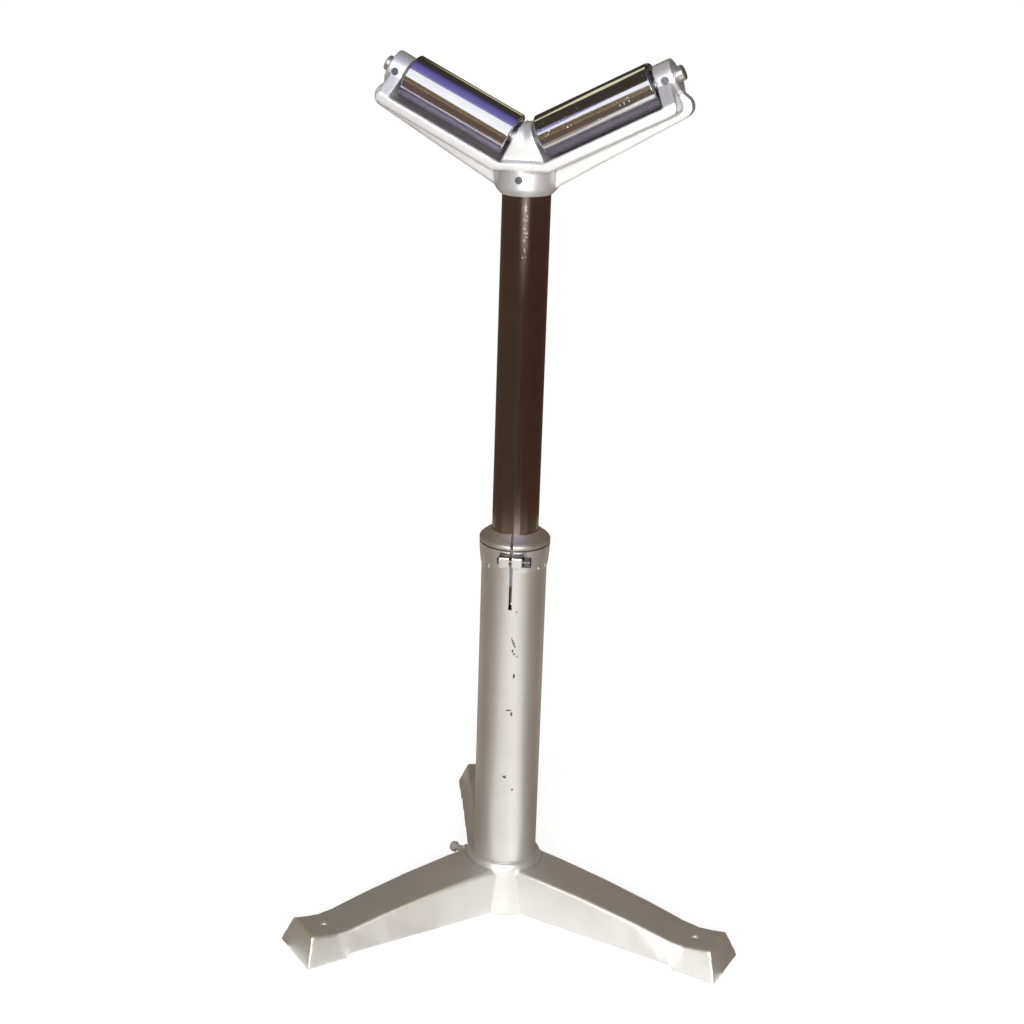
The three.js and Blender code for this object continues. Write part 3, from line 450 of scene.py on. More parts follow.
def cornered(outline, sizes, steps=6):
    """Rounds the corners of a closed outline by the sizes given, in order."""
    rounded = []
    for k, (corner, size) in enumerate(zip(outline, sizes)):
        corner = Vector(corner)
        if size == 0:
            rounded.append(tuple(corner))
            continue
        first = corner + (Vector(outline[k - 1]) - corner).normalized() * size
        last = corner + (Vector(outline[(k + 1) % len(outline)]) - corner).normalized() * size
        for n in range(steps + 1):
            t = n / steps
            rounded.append(tuple(first * (1 - t) ** 2 + corner * 2 * t * (1 - t) + last * t ** 2))
    return rounded


def bent(first, pull, last, steps=8):
    """Points on the curve from first to last that leans toward pull."""
    return [tuple((a * (1 - t) + b * t) * (1 - t) + (b * (1 - t) + c * t) * t for a, b, c in zip(first, pull, last))
            for t in (k / steps for k in range(steps + 1))]


half_way = (34.6 * mm, shoulder + 5.9 * mm)
collar_line = [
    (27.3 * mm, tube_top + 0.3 * mm), (38.2 * mm, tube_top + 0.3 * mm), (38.2 * mm, collar_foot),
    (38.6 * mm, collar_foot), (39.3 * mm, collar_foot + 3 * mm), (40.7 * mm, shoulder - 14 * mm),
    (41.1 * mm, shoulder - 4.6 * mm), (40.0 * mm, shoulder - 4.2 * mm), (40.0 * mm, shoulder - 3.2 * mm),
    (41.1 * mm, shoulder - 2.7 * mm), *bent((41.2 * mm, shoulder - 0.4 * mm), (41.0 * mm, shoulder + 2.2 * mm), half_way),
    (28.7 * mm, collar_top - 0.4 * mm), (28.3 * mm, collar_top), (27.3 * mm, collar_top), (27.3 * mm, tube_top + 0.3 * mm),
]
collar = new_piece("collar", shaped(turned(collar_line, 192), "collar", clamp_turn))
lug_outline = cornered(
    [(-38.6 * mm, lug_low), (-38.6 * mm, lug_high), (-lug_reach, lug_high), (-lug_reach, lug_low)],
    (0, 0, 2.4 * mm, 2.4 * mm),
)
lug_half = slit_half + 11.3 * mm
lugs = slab(lug_outline, -lug_half, lug_half, "x", clamp_turn)
bmesh.ops.bevel(lugs, geom=lugs.edges, offset=0.7 * mm, segments=3, profile=0.5, affect="EDGES", clamp_overlap=True)
carved(collar, "UNION", lugs)
carved(collar, "DIFFERENCE", block(*slit))
screw_place = clamp_turn @ Matrix.Translation((0, -48.8 * mm, 465.5 * mm)) @ along_x
passage = turned([(0, -0.05), (4.2 * mm, -0.05), (4.2 * mm, 0.05), (0, 0.05)], 64)
bmesh.ops.transform(passage, matrix=screw_place, verts=passage.verts)
carved(collar, "DIFFERENCE", passage, crease=40)
# The collar takes painted shade on its lugs, in its groove and over its shoulder.
collar_silver = sprayed_tube("collar_silver", painted_shade_bands=(lug_low, lug_high, 41.4 * mm, shoulder - 4.9 * mm, shoulder - 3.0 * mm))
finished_in(collar, collar_silver)
fit(collar, "stand", "painted_steel", "clamp_collar")


def growth(name, inputs):
    tree = bpy.data.node_groups.new(name, "GeometryNodeTree")
    tree.interface.new_socket(name="Geometry", in_out="OUTPUT", socket_type="NodeSocketGeometry")
    for label, kind in inputs:
        tree.interface.new_socket(name=label, in_out="INPUT", socket_type="NodeSocket" + kind)
    given = tree.nodes.new("NodeGroupInput").outputs
    return tree, given


def ended(tree, geometry, material):
    real = put(tree, "GeometryNodeRealizeInstances", {0: geometry}).outputs[0]
    smooth = put(tree, "GeometryNodeSetShadeSmooth", {0: real}).outputs[0]
    done = put(tree, "GeometryNodeSetMaterial", {0: smooth, "Material": material}).outputs[0]
    put(tree, "NodeGroupOutput", {0: done})


def grown(name, tree, sizes, mesh=None, place=Matrix()):
    piece = new_piece(name, mesh or bpy.data.meshes.new(name))
    maker = piece.modifiers.new("growth", "NODES")
    maker.node_group = tree
    for item in tree.interface.items_tree:
        if item.in_out == "INPUT" and item.name in sizes:
            maker[item.identifier] = sizes[item.name]
    settled(piece)
    piece.data.transform(place)
    return piece


tack_tree, given = growth("weld_tacks", [("Spots", "Geometry"), ("Bead", "Float"), ("Seed", "Int"), ("Material", "Material")])
facing = put(tack_tree, "GeometryNodeInputNamedAttribute", {"Name": "facing"}, data_type="FLOAT_VECTOR")
aim = put(tack_tree, "FunctionNodeAlignRotationToVector", {"Vector": facing.outputs[0]}, axis="Z")
swell = put(tack_tree, "FunctionNodeRandomValue", {"Seed": given["Seed"]}, data_type="FLOAT_VECTOR")
swell.inputs[0].default_value = (0.9, 0.8, 0.55)
swell.inputs[1].default_value = (1.4, 1.2, 0.75)
drop = put(tack_tree, "GeometryNodeMeshIcoSphere", {"Radius": given["Bead"], "Subdivisions": 4})
points = put(tack_tree, "GeometryNodeMeshToPoints", {"Mesh": given["Spots"]})
rows = put(tack_tree, "GeometryNodeInstanceOnPoints", {
    "Points": points.outputs[0], "Instance": drop.outputs["Mesh"], "Rotation": aim.outputs[0], "Scale": swell.outputs[0],
})
ended(tack_tree, rows.outputs["Instances"], given["Material"])
ways = [standing.to_3x3() @ Vector((math.sin(t), -math.cos(t), 0)) for t in map(math.radians, (-53.5, 44, 63.5, 128, 172, 208, 247))]
tack_mesh = bpy.data.meshes.new("tack_spots")
tack_mesh.from_pydata([standing.translation + way * 39.0 * mm + Vector((0, 0, collar_foot + 3 * mm)) for way in ways], [], [])
tack_mesh.attributes.new("facing", "FLOAT_VECTOR", "POINT").data.foreach_set("vector", [n for way in ways for n in way])
tacks = grown("collar_tacks", tack_tree, {"Bead": 2.3 * mm, "Seed": 4, "Material": collar_silver}, mesh=tack_mesh)
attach(tacks, "stand")

# ---------------------------------------------------------------------------------------------
# Clamp sleeve: a split nylon bush between the column and the pole. Only a strip of it shows, grey,
# through the slit, so the frame's own piece stays and takes a moulded finish.
moulded_nylon, tree, shader, where = bare_material("moulded_nylon")
grain = mottle(tree, where, 420, 3)
tree.links.new(tinted(tree, ranged(tree, mottle(tree, where, 25), 0.35, 0.65), (0.23, 0.23, 0.235, 1), (0.29, 0.288, 0.285, 1)), shader.inputs["Base Color"])
tree.links.new(ranged(tree, grain, 0.3, 0.7, 0.42, 0.62), shader.inputs["Roughness"])
bump = put(tree, "ShaderNodeBump", {"Strength": 0.2, "Distance": 0.0002, "Height": grain})
tree.links.new(bump.outputs["Normal"], shader.inputs["Normal"])


def finish_node(name, material):
    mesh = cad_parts[name].data
    mesh.materials.clear()
    mesh.materials.append(material)


finish_node("clamp_sleeve", moulded_nylon)
finish_node("pole_guide", moulded_nylon)

# ---------------------------------------------------------------------------------------------
# Clamp screw and washer: a black socket screw with a knurled head, put in from the right so that
# it draws the two lugs together, on a plain black washer.
black_steel = steel("dark_oxide_steel", (0.11, 0.105, 0.105), (0.17, 0.16, 0.155), 0.20, 160)
face = slit_half + 11.3 * mm + 1.6 * mm + 0.6 * mm
head_end = face + 8 * mm
tail = -slit_half - 11.3 * mm - 2.5 * mm
screw_line = [
    (0, tail), (3 * mm, tail), (4 * mm, tail + 1 * mm), (4 * mm, face), (6.1 * mm, face),
    (6.1 * mm, head_end - 0.9 * mm), (5.4 * mm, head_end), (0, head_end),
]
screw = new_piece("clamp_socket_screw", shaped(turned(eased(screw_line, 0.4 * mm), 72), "clamp_socket_screw", screw_place))
key = turned([(0, head_end - 4 * mm), (6 / math.sqrt(3) * mm, head_end - 4 * mm), (6 / math.sqrt(3) * mm, head_end + mm), (0, head_end + mm)], 6)
bmesh.ops.transform(key, matrix=screw_place, verts=key.verts)
carved(screw, "DIFFERENCE", key)
finished_in(screw, black_steel)
fit(screw, "clamp", "black_steel", "clamp_screw")

knurl_tree, given = growth("knurl", [
    ("Radius", "Float"), ("Rib", "Float"), ("Length", "Float"), ("Count", "Int"), ("Material", "Material"),
])
rim = put(knurl_tree, "GeometryNodeCurvePrimitiveCircle", {"Resolution": 128, "Radius": given["Radius"]}, mode="RADIUS")
spots = put(knurl_tree, "GeometryNodeCurveToPoints", {"Curve": rim.outputs["Curve"], "Count": given["Count"]}, mode="COUNT")
rib = put(knurl_tree, "GeometryNodeMeshCylinder", {"Vertices": 6, "Radius": given["Rib"], "Depth": given["Length"]})
rows = put(knurl_tree, "GeometryNodeInstanceOnPoints", {"Points": spots.outputs["Points"], "Instance": rib.outputs["Mesh"]})
ended(knurl_tree, rows.outputs["Instances"], given["Material"])
knurl = grown("clamp_screw_knurl", knurl_tree, {
    "Radius": 6.05 * mm, "Rib": 0.22 * mm, "Length": 6.2 * mm, "Count": 60, "Material": black_steel,
}, place=screw_place @ Matrix.Translation((0, 0, face + 3.8 * mm)))
knurl.data.set_sharp_from_angle(angle=math.radians(35))
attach(knurl, "clamp")

washer_face = slit_half + 11.3 * mm + 0.3 * mm
washer_line = [(4.2 * mm, washer_face), (6.5 * mm, washer_face), (6.5 * mm, washer_face + 1.6 * mm), (4.2 * mm, washer_face + 1.6 * mm), (4.2 * mm, washer_face)]
washer = new_piece("clamp_screw_washer", shaped(turned(eased(washer_line, 0.3 * mm), 72), "clamp_screw_washer", screw_place))
finished_in(washer, black_steel)
fit(washer, "clamp", "black_steel", "clamp_washer")

# ---------------------------------------------------------------------------------------------
# Pole: a polished drawn tube, plated dark brown, that slides and turns in the sleeve. Its upper
# front is scuffed, with a painted highlight streak and the scratches painted as bright glints, and
# its foot carries a plug, a guide ring and a stop ring inside the column.
pole_foot, pole_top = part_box("pole_tube")[0].z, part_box("pole_tube")[1].z
head_turn = standing @ Matrix.Rotation(math.radians(-19), 4, "Z")
dark_plate, tree, shader, where = bare_material("dark_plated_steel")
drawn = put(tree, "ShaderNodeMapping", {"Vector": where, "Scale": (900, 900, 4)}).outputs["Vector"]
lines = mottle(tree, drawn, 1.0, 3, 0.6)
broad = mottle(tree, put(tree, "ShaderNodeMapping", {"Vector": where, "Scale": (55, 55, 3)}).outputs["Vector"], 1.0, 2)
stain = mottle(tree, where, 24, 4, 0.6)
tone = tinted(tree, ranged(tree, broad, 0.35, 0.65), (0.34, 0.285, 0.26, 1), (0.37, 0.325, 0.285, 1))
tone = tinted(tree, ranged(tree, stain, 0.4, 0.75, 0.0, 0.6), tone, (0.42, 0.36, 0.32, 1))
parts = put(tree, "ShaderNodeSeparateXYZ", {0: where})
upper = figured(tree, "MULTIPLY", ranged(tree, parts.outputs["Z"], 0.76, 0.84), ranged(tree, parts.outputs["Z"], 0.90, 0.87))
facing = ranged(tree, figured(tree, "ABSOLUTE", figured(tree, "SUBTRACT", parts.outputs["X"], -0.002), 0), 0.007, 0.001)
front = ranged(tree, parts.outputs["Y"], standing.translation.y - 0.018, standing.translation.y - 0.024)
# The pole's upper front strip carries a painted highlight streak and scratch glints.
scuff_and_highlight_zone = figured(tree, "MULTIPLY", figured(tree, "MULTIPLY", upper, facing), front)
scratch = put(tree, "ShaderNodeMapping", {"Vector": where, "Scale": (620, 620, 330)}).outputs["Vector"]
specks = ranged(tree, mottle(tree, scratch, 1.0, 2, 0.6), 0.62, 0.68)
scuff_glints = figured(tree, "MULTIPLY", specks, scuff_and_highlight_zone)
painted_highlight_haze = figured(tree, "MULTIPLY", scuff_and_highlight_zone, 0.5)
# Painted highlight: a pale streak down the pole's front.
tone = tinted(tree, painted_highlight_haze, tone, (0.55, 0.52, 0.50, 1))
# Scratch specks, painted light as bright glints.
tone = tinted(tree, scuff_glints, tone, (0.60, 0.59, 0.57, 1))
tree.links.new(tone, shader.inputs["Base Color"])
shader.inputs["Metallic"].default_value = 1.0
shine = ranged(tree, lines, 0.3, 0.7, 0.08, 0.12)
shine = figured(tree, "ADD", shine, figured(tree, "MULTIPLY", painted_highlight_haze, 0.20))
tree.links.new(figured(tree, "ADD", shine, figured(tree, "MULTIPLY", scuff_glints, 0.2)), shader.inputs["Roughness"])
pole_height = figured(tree, "ADD", lines, figured(tree, "MULTIPLY", scuff_glints, 0.8))
bump = put(tree, "ShaderNodeBump", {"Strength": 0.08, "Distance": 0.0001, "Height": pole_height})
tree.links.new(bump.outputs["Normal"], shader.inputs["Normal"])

pole_line = [(23 * mm, pole_foot), (27 * mm, pole_foot), (27 * mm, pole_top), (23 * mm, pole_top), (23 * mm, pole_foot)]
pole = new_piece("pole", shaped(turned(eased(pole_line, 0.8 * mm), 160), "pole", head_turn))
finished_in(pole, dark_plate)
fit(pole, "pole", "dark_steel", "pole_tube")
finish_node("pole_end_plug", bright_steel)
finish_node("pole_stop_ring", bright_steel)

# ---------------------------------------------------------------------------------------------
# Head yoke: socket, bridge, two trays with rails, ribs, elbow bosses and ears, cast in aluminium
# in one piece. The axle holes, the socket bore and the screw holes are drilled after casting.
apex = Matrix.Translation((0, 0, 934 * mm))
tilt = Matrix.Rotation(math.radians(-27), 4, "Y")
arms = {
    "right": head_turn @ apex @ tilt,
    "left": head_turn @ apex @ Matrix.Rotation(math.pi, 4, "Z") @ tilt,
}
elbow_face, ear_start, ear_end = 14.966 * mm, 156.566 * mm, 176.566 * mm
ear_middle = (ear_start + ear_end) / 2
tray_end, rib_end = ear_end - 6 * mm, ear_end + 4 * mm
yoke_half, rail_inner = 34.5 * mm, 27.5 * mm
rail_top, rail_foot, tray_floor = -24.8 * mm, -36.4 * mm, -28.8 * mm


def rod(radius, start, stop, sides, place):
    form = turned([(0, start), (radius, start), (radius, stop), (0, stop)], sides)
    bmesh.ops.transform(form, matrix=place, verts=form.verts)
    return form


socket_line = [(0, 881), (28.3, 881), (34.5, 888), (34.5, 918.3), (0, 918.3)]
yoke = new_piece("yoke", shaped(turned([(r * mm, z * mm) for r, z in socket_line], 128), "yoke", head_turn))
cast_forms = [block((-32.683 * mm, -yoke_half, 909.8 * mm), (32.683 * mm, yoke_half, 918.3 * mm), head_turn)]
for arm in arms.values():
    tray = cornered(
        [(13.64 * mm, rail_top), (18.134 * mm, rail_foot), (tray_end, rail_foot), (tray_end, rail_top)],
        (0, 0, 9 * mm, 0),
    )
    cast_forms.append(slab(tray, -yoke_half, yoke_half, "y", arm))
    rib = cornered(
        [
            (0, rail_top - 6 * mm), (0, -56 * mm), (rib_end, -44 * mm), (rib_end, -28.5 * mm),
            (ear_end, -20.8 * mm), (ear_middle, -20.8 * mm), (ear_start, rail_top - 6 * mm),
        ],
        (0, 0, 13 * mm, 4 * mm, 0, 0, 0),
    )
    cast_forms.append(slab(rib, -8 * mm, 8 * mm, "y", arm))
    ear = [
        (-yoke_half, rail_top - 5 * mm), (yoke_half, rail_top - 5 * mm), (yoke_half, rail_top),
        (19.5 * mm, -3 * mm), (19.5 * mm, 0), (-19.5 * mm, 0), (-19.5 * mm, -3 * mm), (-yoke_half, rail_top),
    ]
    cast_forms.append(slab(ear, ear_start, tray_end, "x", arm))
    cast_forms.append(rod(19.5 * mm, ear_start, ear_end, 96, arm @ along_x))
    cast_forms.append(rod(22.3 * mm, 0, elbow_face, 96, arm @ along_x))
    cast_forms.append(block((-elbow_face / 2, -22.3 * mm, tray_floor), (elbow_face, 22.3 * mm, 0), arm))
carved(yoke, "UNION", *cast_forms)
hollows = [block((elbow_face, -rail_inner, tray_floor), (ear_start, rail_inner, 0.1), arm) for arm in arms.values()]
carved(yoke, "DIFFERENCE", *hollows)
cast_skin(yoke, 1.35 * mm, 3)
drillings = [rod(27.2 * mm, 870 * mm, 912 * mm, 128, head_turn)]
front_screw = head_turn @ Matrix.Translation((0, 0, 900 * mm)) @ Matrix.Rotation(math.radians(90), 4, "X")
drillings.append(rod(4.2 * mm, 0.02, 0.04, 48, front_screw))
for side, arm in arms.items():
    drillings.append(rod(8.7 * mm, 5.3 * mm, ear_end + mm, 96, arm @ along_x))
    inward = Matrix.Rotation(math.radians(90 if side == "right" else -90), 4, "X")
    drillings.append(rod(4.2 * mm, 0, yoke_half, 48, arm @ Matrix.Translation((ear_middle, 0, 0)) @ inward))
carved(yoke, "DIFFERENCE", *drillings, crease=40)
mark_proud_edges(yoke.data, 2, 0.16)
spots = np.array([v.co for v in yoke.data.vertices])
# Painted shade: the trays' floors and inner walls under the rollers, marked for a darker, slightly violet tone.
oily = np.zeros(len(spots), dtype=np.float32)
for arm in arms.values():
    back = np.array(arm.inverted())
    own = spots @ back[:3, :3].T + back[:3, 3]
    within = np.minimum(own[:, 0] - elbow_face, ear_start - own[:, 0])
    within = np.minimum(within, rail_inner + 4 * mm - np.abs(own[:, 1]))
    within = np.minimum(within, rail_top + 1.2 * mm - own[:, 2])
    within = np.where(own[:, 2] > tray_floor - 2 * mm, within, 0)
    oily = np.maximum(oily, np.clip(within / (2 * mm), 0, 1))
yoke.data.attributes.new("oily", "FLOAT", "POINT").data.foreach_set("value", oily.astype(np.float32))

cast_aluminium, tree, shader, where = bare_material("cast_aluminium")
edge = put(tree, "ShaderNodeAttribute", attribute_name="proud").outputs["Fac"]
cloudy = mottle(tree, where, 28, 3)
sand = mottle(tree, where, 520, 3, 0.65)
pits = ranged(tree, mottle(tree, where, 300, 2), 0.68, 0.78)
tray_shade_mask = put(tree, "ShaderNodeAttribute", attribute_name="oily").outputs["Fac"]
tone = tinted(tree, ranged(tree, cloudy, 0.35, 0.65), (0.91, 0.91, 0.92, 1), (0.97, 0.97, 0.965, 1))
tone = tinted(tree, ranged(tree, edge, 0.3, 0.9, 0.0, 0.6), tone, (0.97, 0.97, 0.97, 1))
# Painted shade: concave creases and fillets darkened.
tone = tinted(tree, ranged(tree, edge, -0.15, -0.7, 0.0, 0.5), tone, (0.42, 0.42, 0.45, 1))
tone = tinted(tree, figured(tree, "MULTIPLY", pits, 0.4), tone, (0.40, 0.40, 0.42, 1))
# Painted shade in the trays under the rollers, darker and a little violet.
tone = tinted(tree, figured(tree, "MULTIPLY", tray_shade_mask, 0.9), tone, (0.50, 0.45, 0.53, 1))
tree.links.new(tone, shader.inputs["Base Color"])
shader.inputs["Metallic"].default_value = 0.60
tree.links.new(ranged(tree, sand, 0.3, 0.7, 0.34, 0.48), shader.inputs["Roughness"])
cast_height = figured(tree, "SUBTRACT", sand, figured(tree, "MULTIPLY", pits, 0.6))
bump = put(tree, "ShaderNodeBump", {"Strength": 0.25, "Distance": 0.0003, "Height": cast_height})
tree.links.new(bump.outputs["Normal"], shader.inputs["Normal"])
finished_in(yoke, cast_aluminium)
fit(yoke, "pole", "cast_aluminium", "head_yoke")

# ---------------------------------------------------------------------------------------------
# Set screws: three blued grub screws with hexagon sockets. One holds the yoke on the pole, and
# one in each ear holds an axle. All three are driven from the front, just below the surface.
grub_line = [(0, -1), (3.2, -1), (4, -0.88), (4, -0.03), (3.7, 0), (0, 0)]
grub_line = [(r * mm, z * 9.9 * mm) for r, z in grub_line]
grub = new_piece("grub", shaped(turned(eased(grub_line, 0.25 * mm), 48), "grub"))
carved(grub, "DIFFERENCE", rod(4 / math.sqrt(3) * mm, -3 * mm, mm, 6, Matrix()))

screw_tree, given = growth("grub_screws", [("Spots", "Geometry"), ("Screw", "Object"), ("Material", "Material")])
facing = put(screw_tree, "GeometryNodeInputNamedAttribute", {"Name": "facing"}, data_type="FLOAT_VECTOR")
reach = put(screw_tree, "GeometryNodeInputNamedAttribute", {"Name": "reach"}, data_type="FLOAT_VECTOR")
aim = put(screw_tree, "FunctionNodeAlignRotationToVector", {"Vector": facing.outputs[0]}, axis="Z")
model = put(screw_tree, "GeometryNodeObjectInfo", {"Object": given["Screw"]})
points = put(screw_tree, "GeometryNodeMeshToPoints", {"Mesh": given["Spots"]})
rows = put(screw_tree, "GeometryNodeInstanceOnPoints", {
    "Points": points.outputs[0], "Instance": model.outputs["Geometry"],
    "Rotation": aim.outputs[0], "Scale": reach.outputs[0],
})
ended(screw_tree, rows.outputs["Instances"], given["Material"])

grub_spots = [(head_turn @ Vector((0, -33.7 * mm, 900 * mm)), head_turn.to_3x3() @ Vector((0, -1, 0)), 6.4 / 9.9)]
for side, arm in arms.items():
    out = Vector((0, -1 if side == "right" else 1, 0))
    grub_spots.append((arm @ (Vector((ear_middle, 0, 0)) + out * 18.7 * mm), arm.to_3x3() @ out, 1.0))
spot_mesh = bpy.data.meshes.new("grub_spots")
spot_mesh.from_pydata([spot for spot, _, _ in grub_spots], [], [])
spot_mesh.attributes.new("facing", "FLOAT_VECTOR", "POINT").data.foreach_set("vector", [n for _, way, _ in grub_spots for n in way])
spot_mesh.attributes.new("reach", "FLOAT_VECTOR", "POINT").data.foreach_set("vector", [n for _, _, long in grub_spots for n in (1, 1, long)])
blued_steel = steel("blued_steel", (0.15, 0.155, 0.19), (0.27, 0.27, 0.31), 0.38, 220)
grubs = grown("set_screws", screw_tree, {"Screw": grub, "Material": blued_steel}, mesh=spot_mesh)
grubs.data.set_sharp_from_angle(angle=math.radians(32))
bpy.data.objects.remove(grub)
fit(grubs, "pole", "black_steel", "head_set_screw", "left_axle_screw", "right_axle_screw")

# ---------------------------------------------------------------------------------------------
# Axles: two plain turned bars, pushed in through the ears until their ends meet the elbow's
# solid middle. Their outer ends stand out of the ears as turned stubs.
axle_line = [(0, 6.331), (7.5, 6.331), (8.5, 7.331), (8.5, 183.566), (7.5, 184.566), (0, 184.566)]
axle_line = [(r * mm, z * mm) for r, z in axle_line]
turned_steel, tree, shader, where = bare_material("turned_axle_steel")
rings = mottle(tree, put(tree, "ShaderNodeMapping", {"Vector": where, "Scale": (700, 700, 700)}).outputs["Vector"], 1.0, 2)
stain = mottle(tree, where, 90, 4)
tone = tinted(tree, ranged(tree, stain, 0.35, 0.7), (0.84, 0.84, 0.84, 1), (0.68, 0.67, 0.66, 1))
tree.links.new(tone, shader.inputs["Base Color"])
shader.inputs["Metallic"].default_value = 0.85
tree.links.new(ranged(tree, rings, 0.3, 0.7, 0.24, 0.36), shader.inputs["Roughness"])
bump = put(tree, "ShaderNodeBump", {"Strength": 0.15, "Distance": 0.0001, "Height": rings})
tree.links.new(bump.outputs["Normal"], shader.inputs["Normal"])
for side, arm in arms.items():
    axle = new_piece(f"{side}_axle_bar", shaped(turned(eased(axle_line, 0.5 * mm), 96), f"{side}_axle_bar", arm @ along_x))
    finished_in(axle, turned_steel)
    fit(axle, "pole", "bright_steel", f"{side}_axle")

# ---------------------------------------------------------------------------------------------
# Bearings: a ball bearing in each end of each roller, with a spacer tube between the inner rings
# and washers that keep the roller off the casting. All are ground steel.
near_bearing, far_bearing = 21.466 * mm, 139.466 * mm


def steel_ring(name, inner, outer, start, stop, arm):
    line = [(inner, start), (outer, start), (outer, stop), (inner, stop), (inner, start)]
    piece = new_piece(name, shaped(turned(eased(line, 0.4 * mm), 96), name, arm @ along_x))
    finished_in(piece, bright_steel)
    return piece


ball_tree, given = growth("ball_ring", [
    ("Pitch", "Float"), ("Ball", "Float"), ("Cage width", "Float"), ("Cage wall", "Float"), ("Count", "Int"), ("Material", "Material"),
])
track = put(ball_tree, "GeometryNodeCurvePrimitiveCircle", {"Resolution": 72, "Radius": given["Pitch"]}, mode="RADIUS").outputs["Curve"]
spots = put(ball_tree, "GeometryNodeCurveToPoints", {"Curve": track, "Count": given["Count"]}, mode="COUNT")
ball = put(ball_tree, "GeometryNodeMeshIcoSphere", {"Radius": given["Ball"], "Subdivisions": 4})
balls = put(ball_tree, "GeometryNodeInstanceOnPoints", {"Points": spots.outputs["Points"], "Instance": ball.outputs["Mesh"]})
strip = put(ball_tree, "GeometryNodeCurvePrimitiveQuadrilateral", {"Width": given["Cage wall"], "Height": given["Cage width"]})
cage = put(ball_tree, "GeometryNodeCurveToMesh", {"Curve": track, "Profile Curve": strip.outputs["Curve"]})
both = put(ball_tree, "GeometryNodeJoinGeometry")
ball_tree.links.new(balls.outputs["Instances"], both.inputs[0])
ball_tree.links.new(cage.outputs["Mesh"], both.inputs[0])
ended(ball_tree, both.outputs[0], given["Material"])

for side, arm in arms.items():
    roller_body = f"roller_{side}"
    for end, start in (("near", near_bearing), ("far", far_bearing)):
        stop = start + 12 * mm
        outer = steel_ring(f"{side}_{end}_bearing_outer", 17.1 * mm, 20 * mm, start, stop, arm)
        fit(outer, roller_body, "bright_steel", f"{side}_{end}_outer_ring")
        inner = steel_ring(f"{side}_{end}_bearing_inner", 8.7 * mm, 11.6 * mm, start, stop, arm)
        fit(inner, "pole", "bright_steel", f"{side}_{end}_inner_ring")
        balls = grown(f"{side}_{end}_bearing_balls", ball_tree, {
            "Pitch": 14.35 * mm, "Ball": 2.4 * mm, "Cage width": 2.4 * mm, "Cage wall": 1 * mm, "Count": 9, "Material": bright_steel,
        }, place=arm @ along_x @ Matrix.Translation((0, 0, start + 6 * mm)))
        balls.data.set_sharp_from_angle(angle=math.radians(40))
        fit(balls, roller_body, "bright_steel", f"{side}_{end}_balls")
    near_washer = steel_ring(f"{side}_washer_near", 8.7 * mm, 11 * mm, elbow_face + 0.2 * mm, near_bearing - 0.2 * mm, arm)
    fit(near_washer, "pole", "bright_steel", f"{side}_near_washer")
    far_washer = steel_ring(f"{side}_washer_far", 8.7 * mm, 11 * mm, far_bearing + 12.2 * mm, ear_start - 0.2 * mm, arm)
    fit(far_washer, "pole", "bright_steel", f"{side}_far_washer")
    finish_node(f"{side}_spacer", bright_steel)

# ---------------------------------------------------------------------------------------------
# Rollers: two steel tubes, turned, ground and chromed, bored at both ends for the bearings.
# The grinding leaves fine rings, and the chrome is speckled where work has rolled on it.
roller_start, roller_end = 19.466 * mm, 153.466 * mm
bearing_seat, roller_bore, roller_radius = 20.2 * mm, 18.9 * mm, 25.25 * mm
near_seat, far_seat = near_bearing + 12.2 * mm, far_bearing - 0.2 * mm
roller_line = [
    (bearing_seat, roller_start), (roller_radius - 1.2 * mm, roller_start), (roller_radius, roller_start + 1.2 * mm),
    (roller_radius, roller_end - 1.2 * mm), (roller_radius - 1.2 * mm, roller_end), (bearing_seat, roller_end),
    (bearing_seat, far_seat), (roller_bore, far_seat), (roller_bore, near_seat), (bearing_seat, near_seat),
    (bearing_seat, roller_start),
]


def ground_chrome(name, arm, speckle):
    material, tree, shader, where = bare_material(name)
    place = arm.to_translation()
    turn = arm.to_euler()
    own = put(tree, "ShaderNodeMapping", {"Vector": where, "Location": place, "Rotation": turn}, vector_type="TEXTURE").outputs["Vector"]
    stretched = put(tree, "ShaderNodeMapping", {"Vector": own, "Scale": (2600, 60, 60)}).outputs["Vector"]
    rings = mottle(tree, stretched, 1.0, 3, 0.6)
    smear = mottle(tree, put(tree, "ShaderNodeMapping", {"Vector": own, "Scale": (30, 90, 90)}).outputs["Vector"], 1.0, 4, 0.6)
    drops = put(tree, "ShaderNodeTexVoronoi", {"Vector": own, "Scale": 330.0}, feature="F1")
    dots = ranged(tree, drops.outputs["Distance"], 0.30, 0.16)
    patchy = ranged(tree, mottle(tree, own, 45, 3), 0.52, 0.62)
    marks = figured(tree, "MULTIPLY", figured(tree, "MULTIPLY", dots, patchy), speckle)
    tone = tinted(tree, ranged(tree, smear, 0.4, 0.75, 0.0, 0.5), (0.83, 0.83, 0.85, 1), (0.66, 0.65, 0.67, 1))
    tone = tinted(tree, figured(tree, "MULTIPLY", marks, 0.5), tone, (0.95, 0.95, 0.97, 1))
    tree.links.new(tone, shader.inputs["Base Color"])
    shader.inputs["Metallic"].default_value = 1.0
    shine = ranged(tree, rings, 0.3, 0.7, 0.06, 0.13)
    shine = figured(tree, "ADD", shine, figured(tree, "MULTIPLY", marks, 0.35))
    tree.links.new(shine, shader.inputs["Roughness"])
    height = figured(tree, "ADD", figured(tree, "MULTIPLY", rings, 0.25), marks)
    bump = put(tree, "ShaderNodeBump", {"Strength": 0.10, "Distance": 0.0001, "Height": height})
    tree.links.new(bump.outputs["Normal"], shader.inputs["Normal"])
    return material


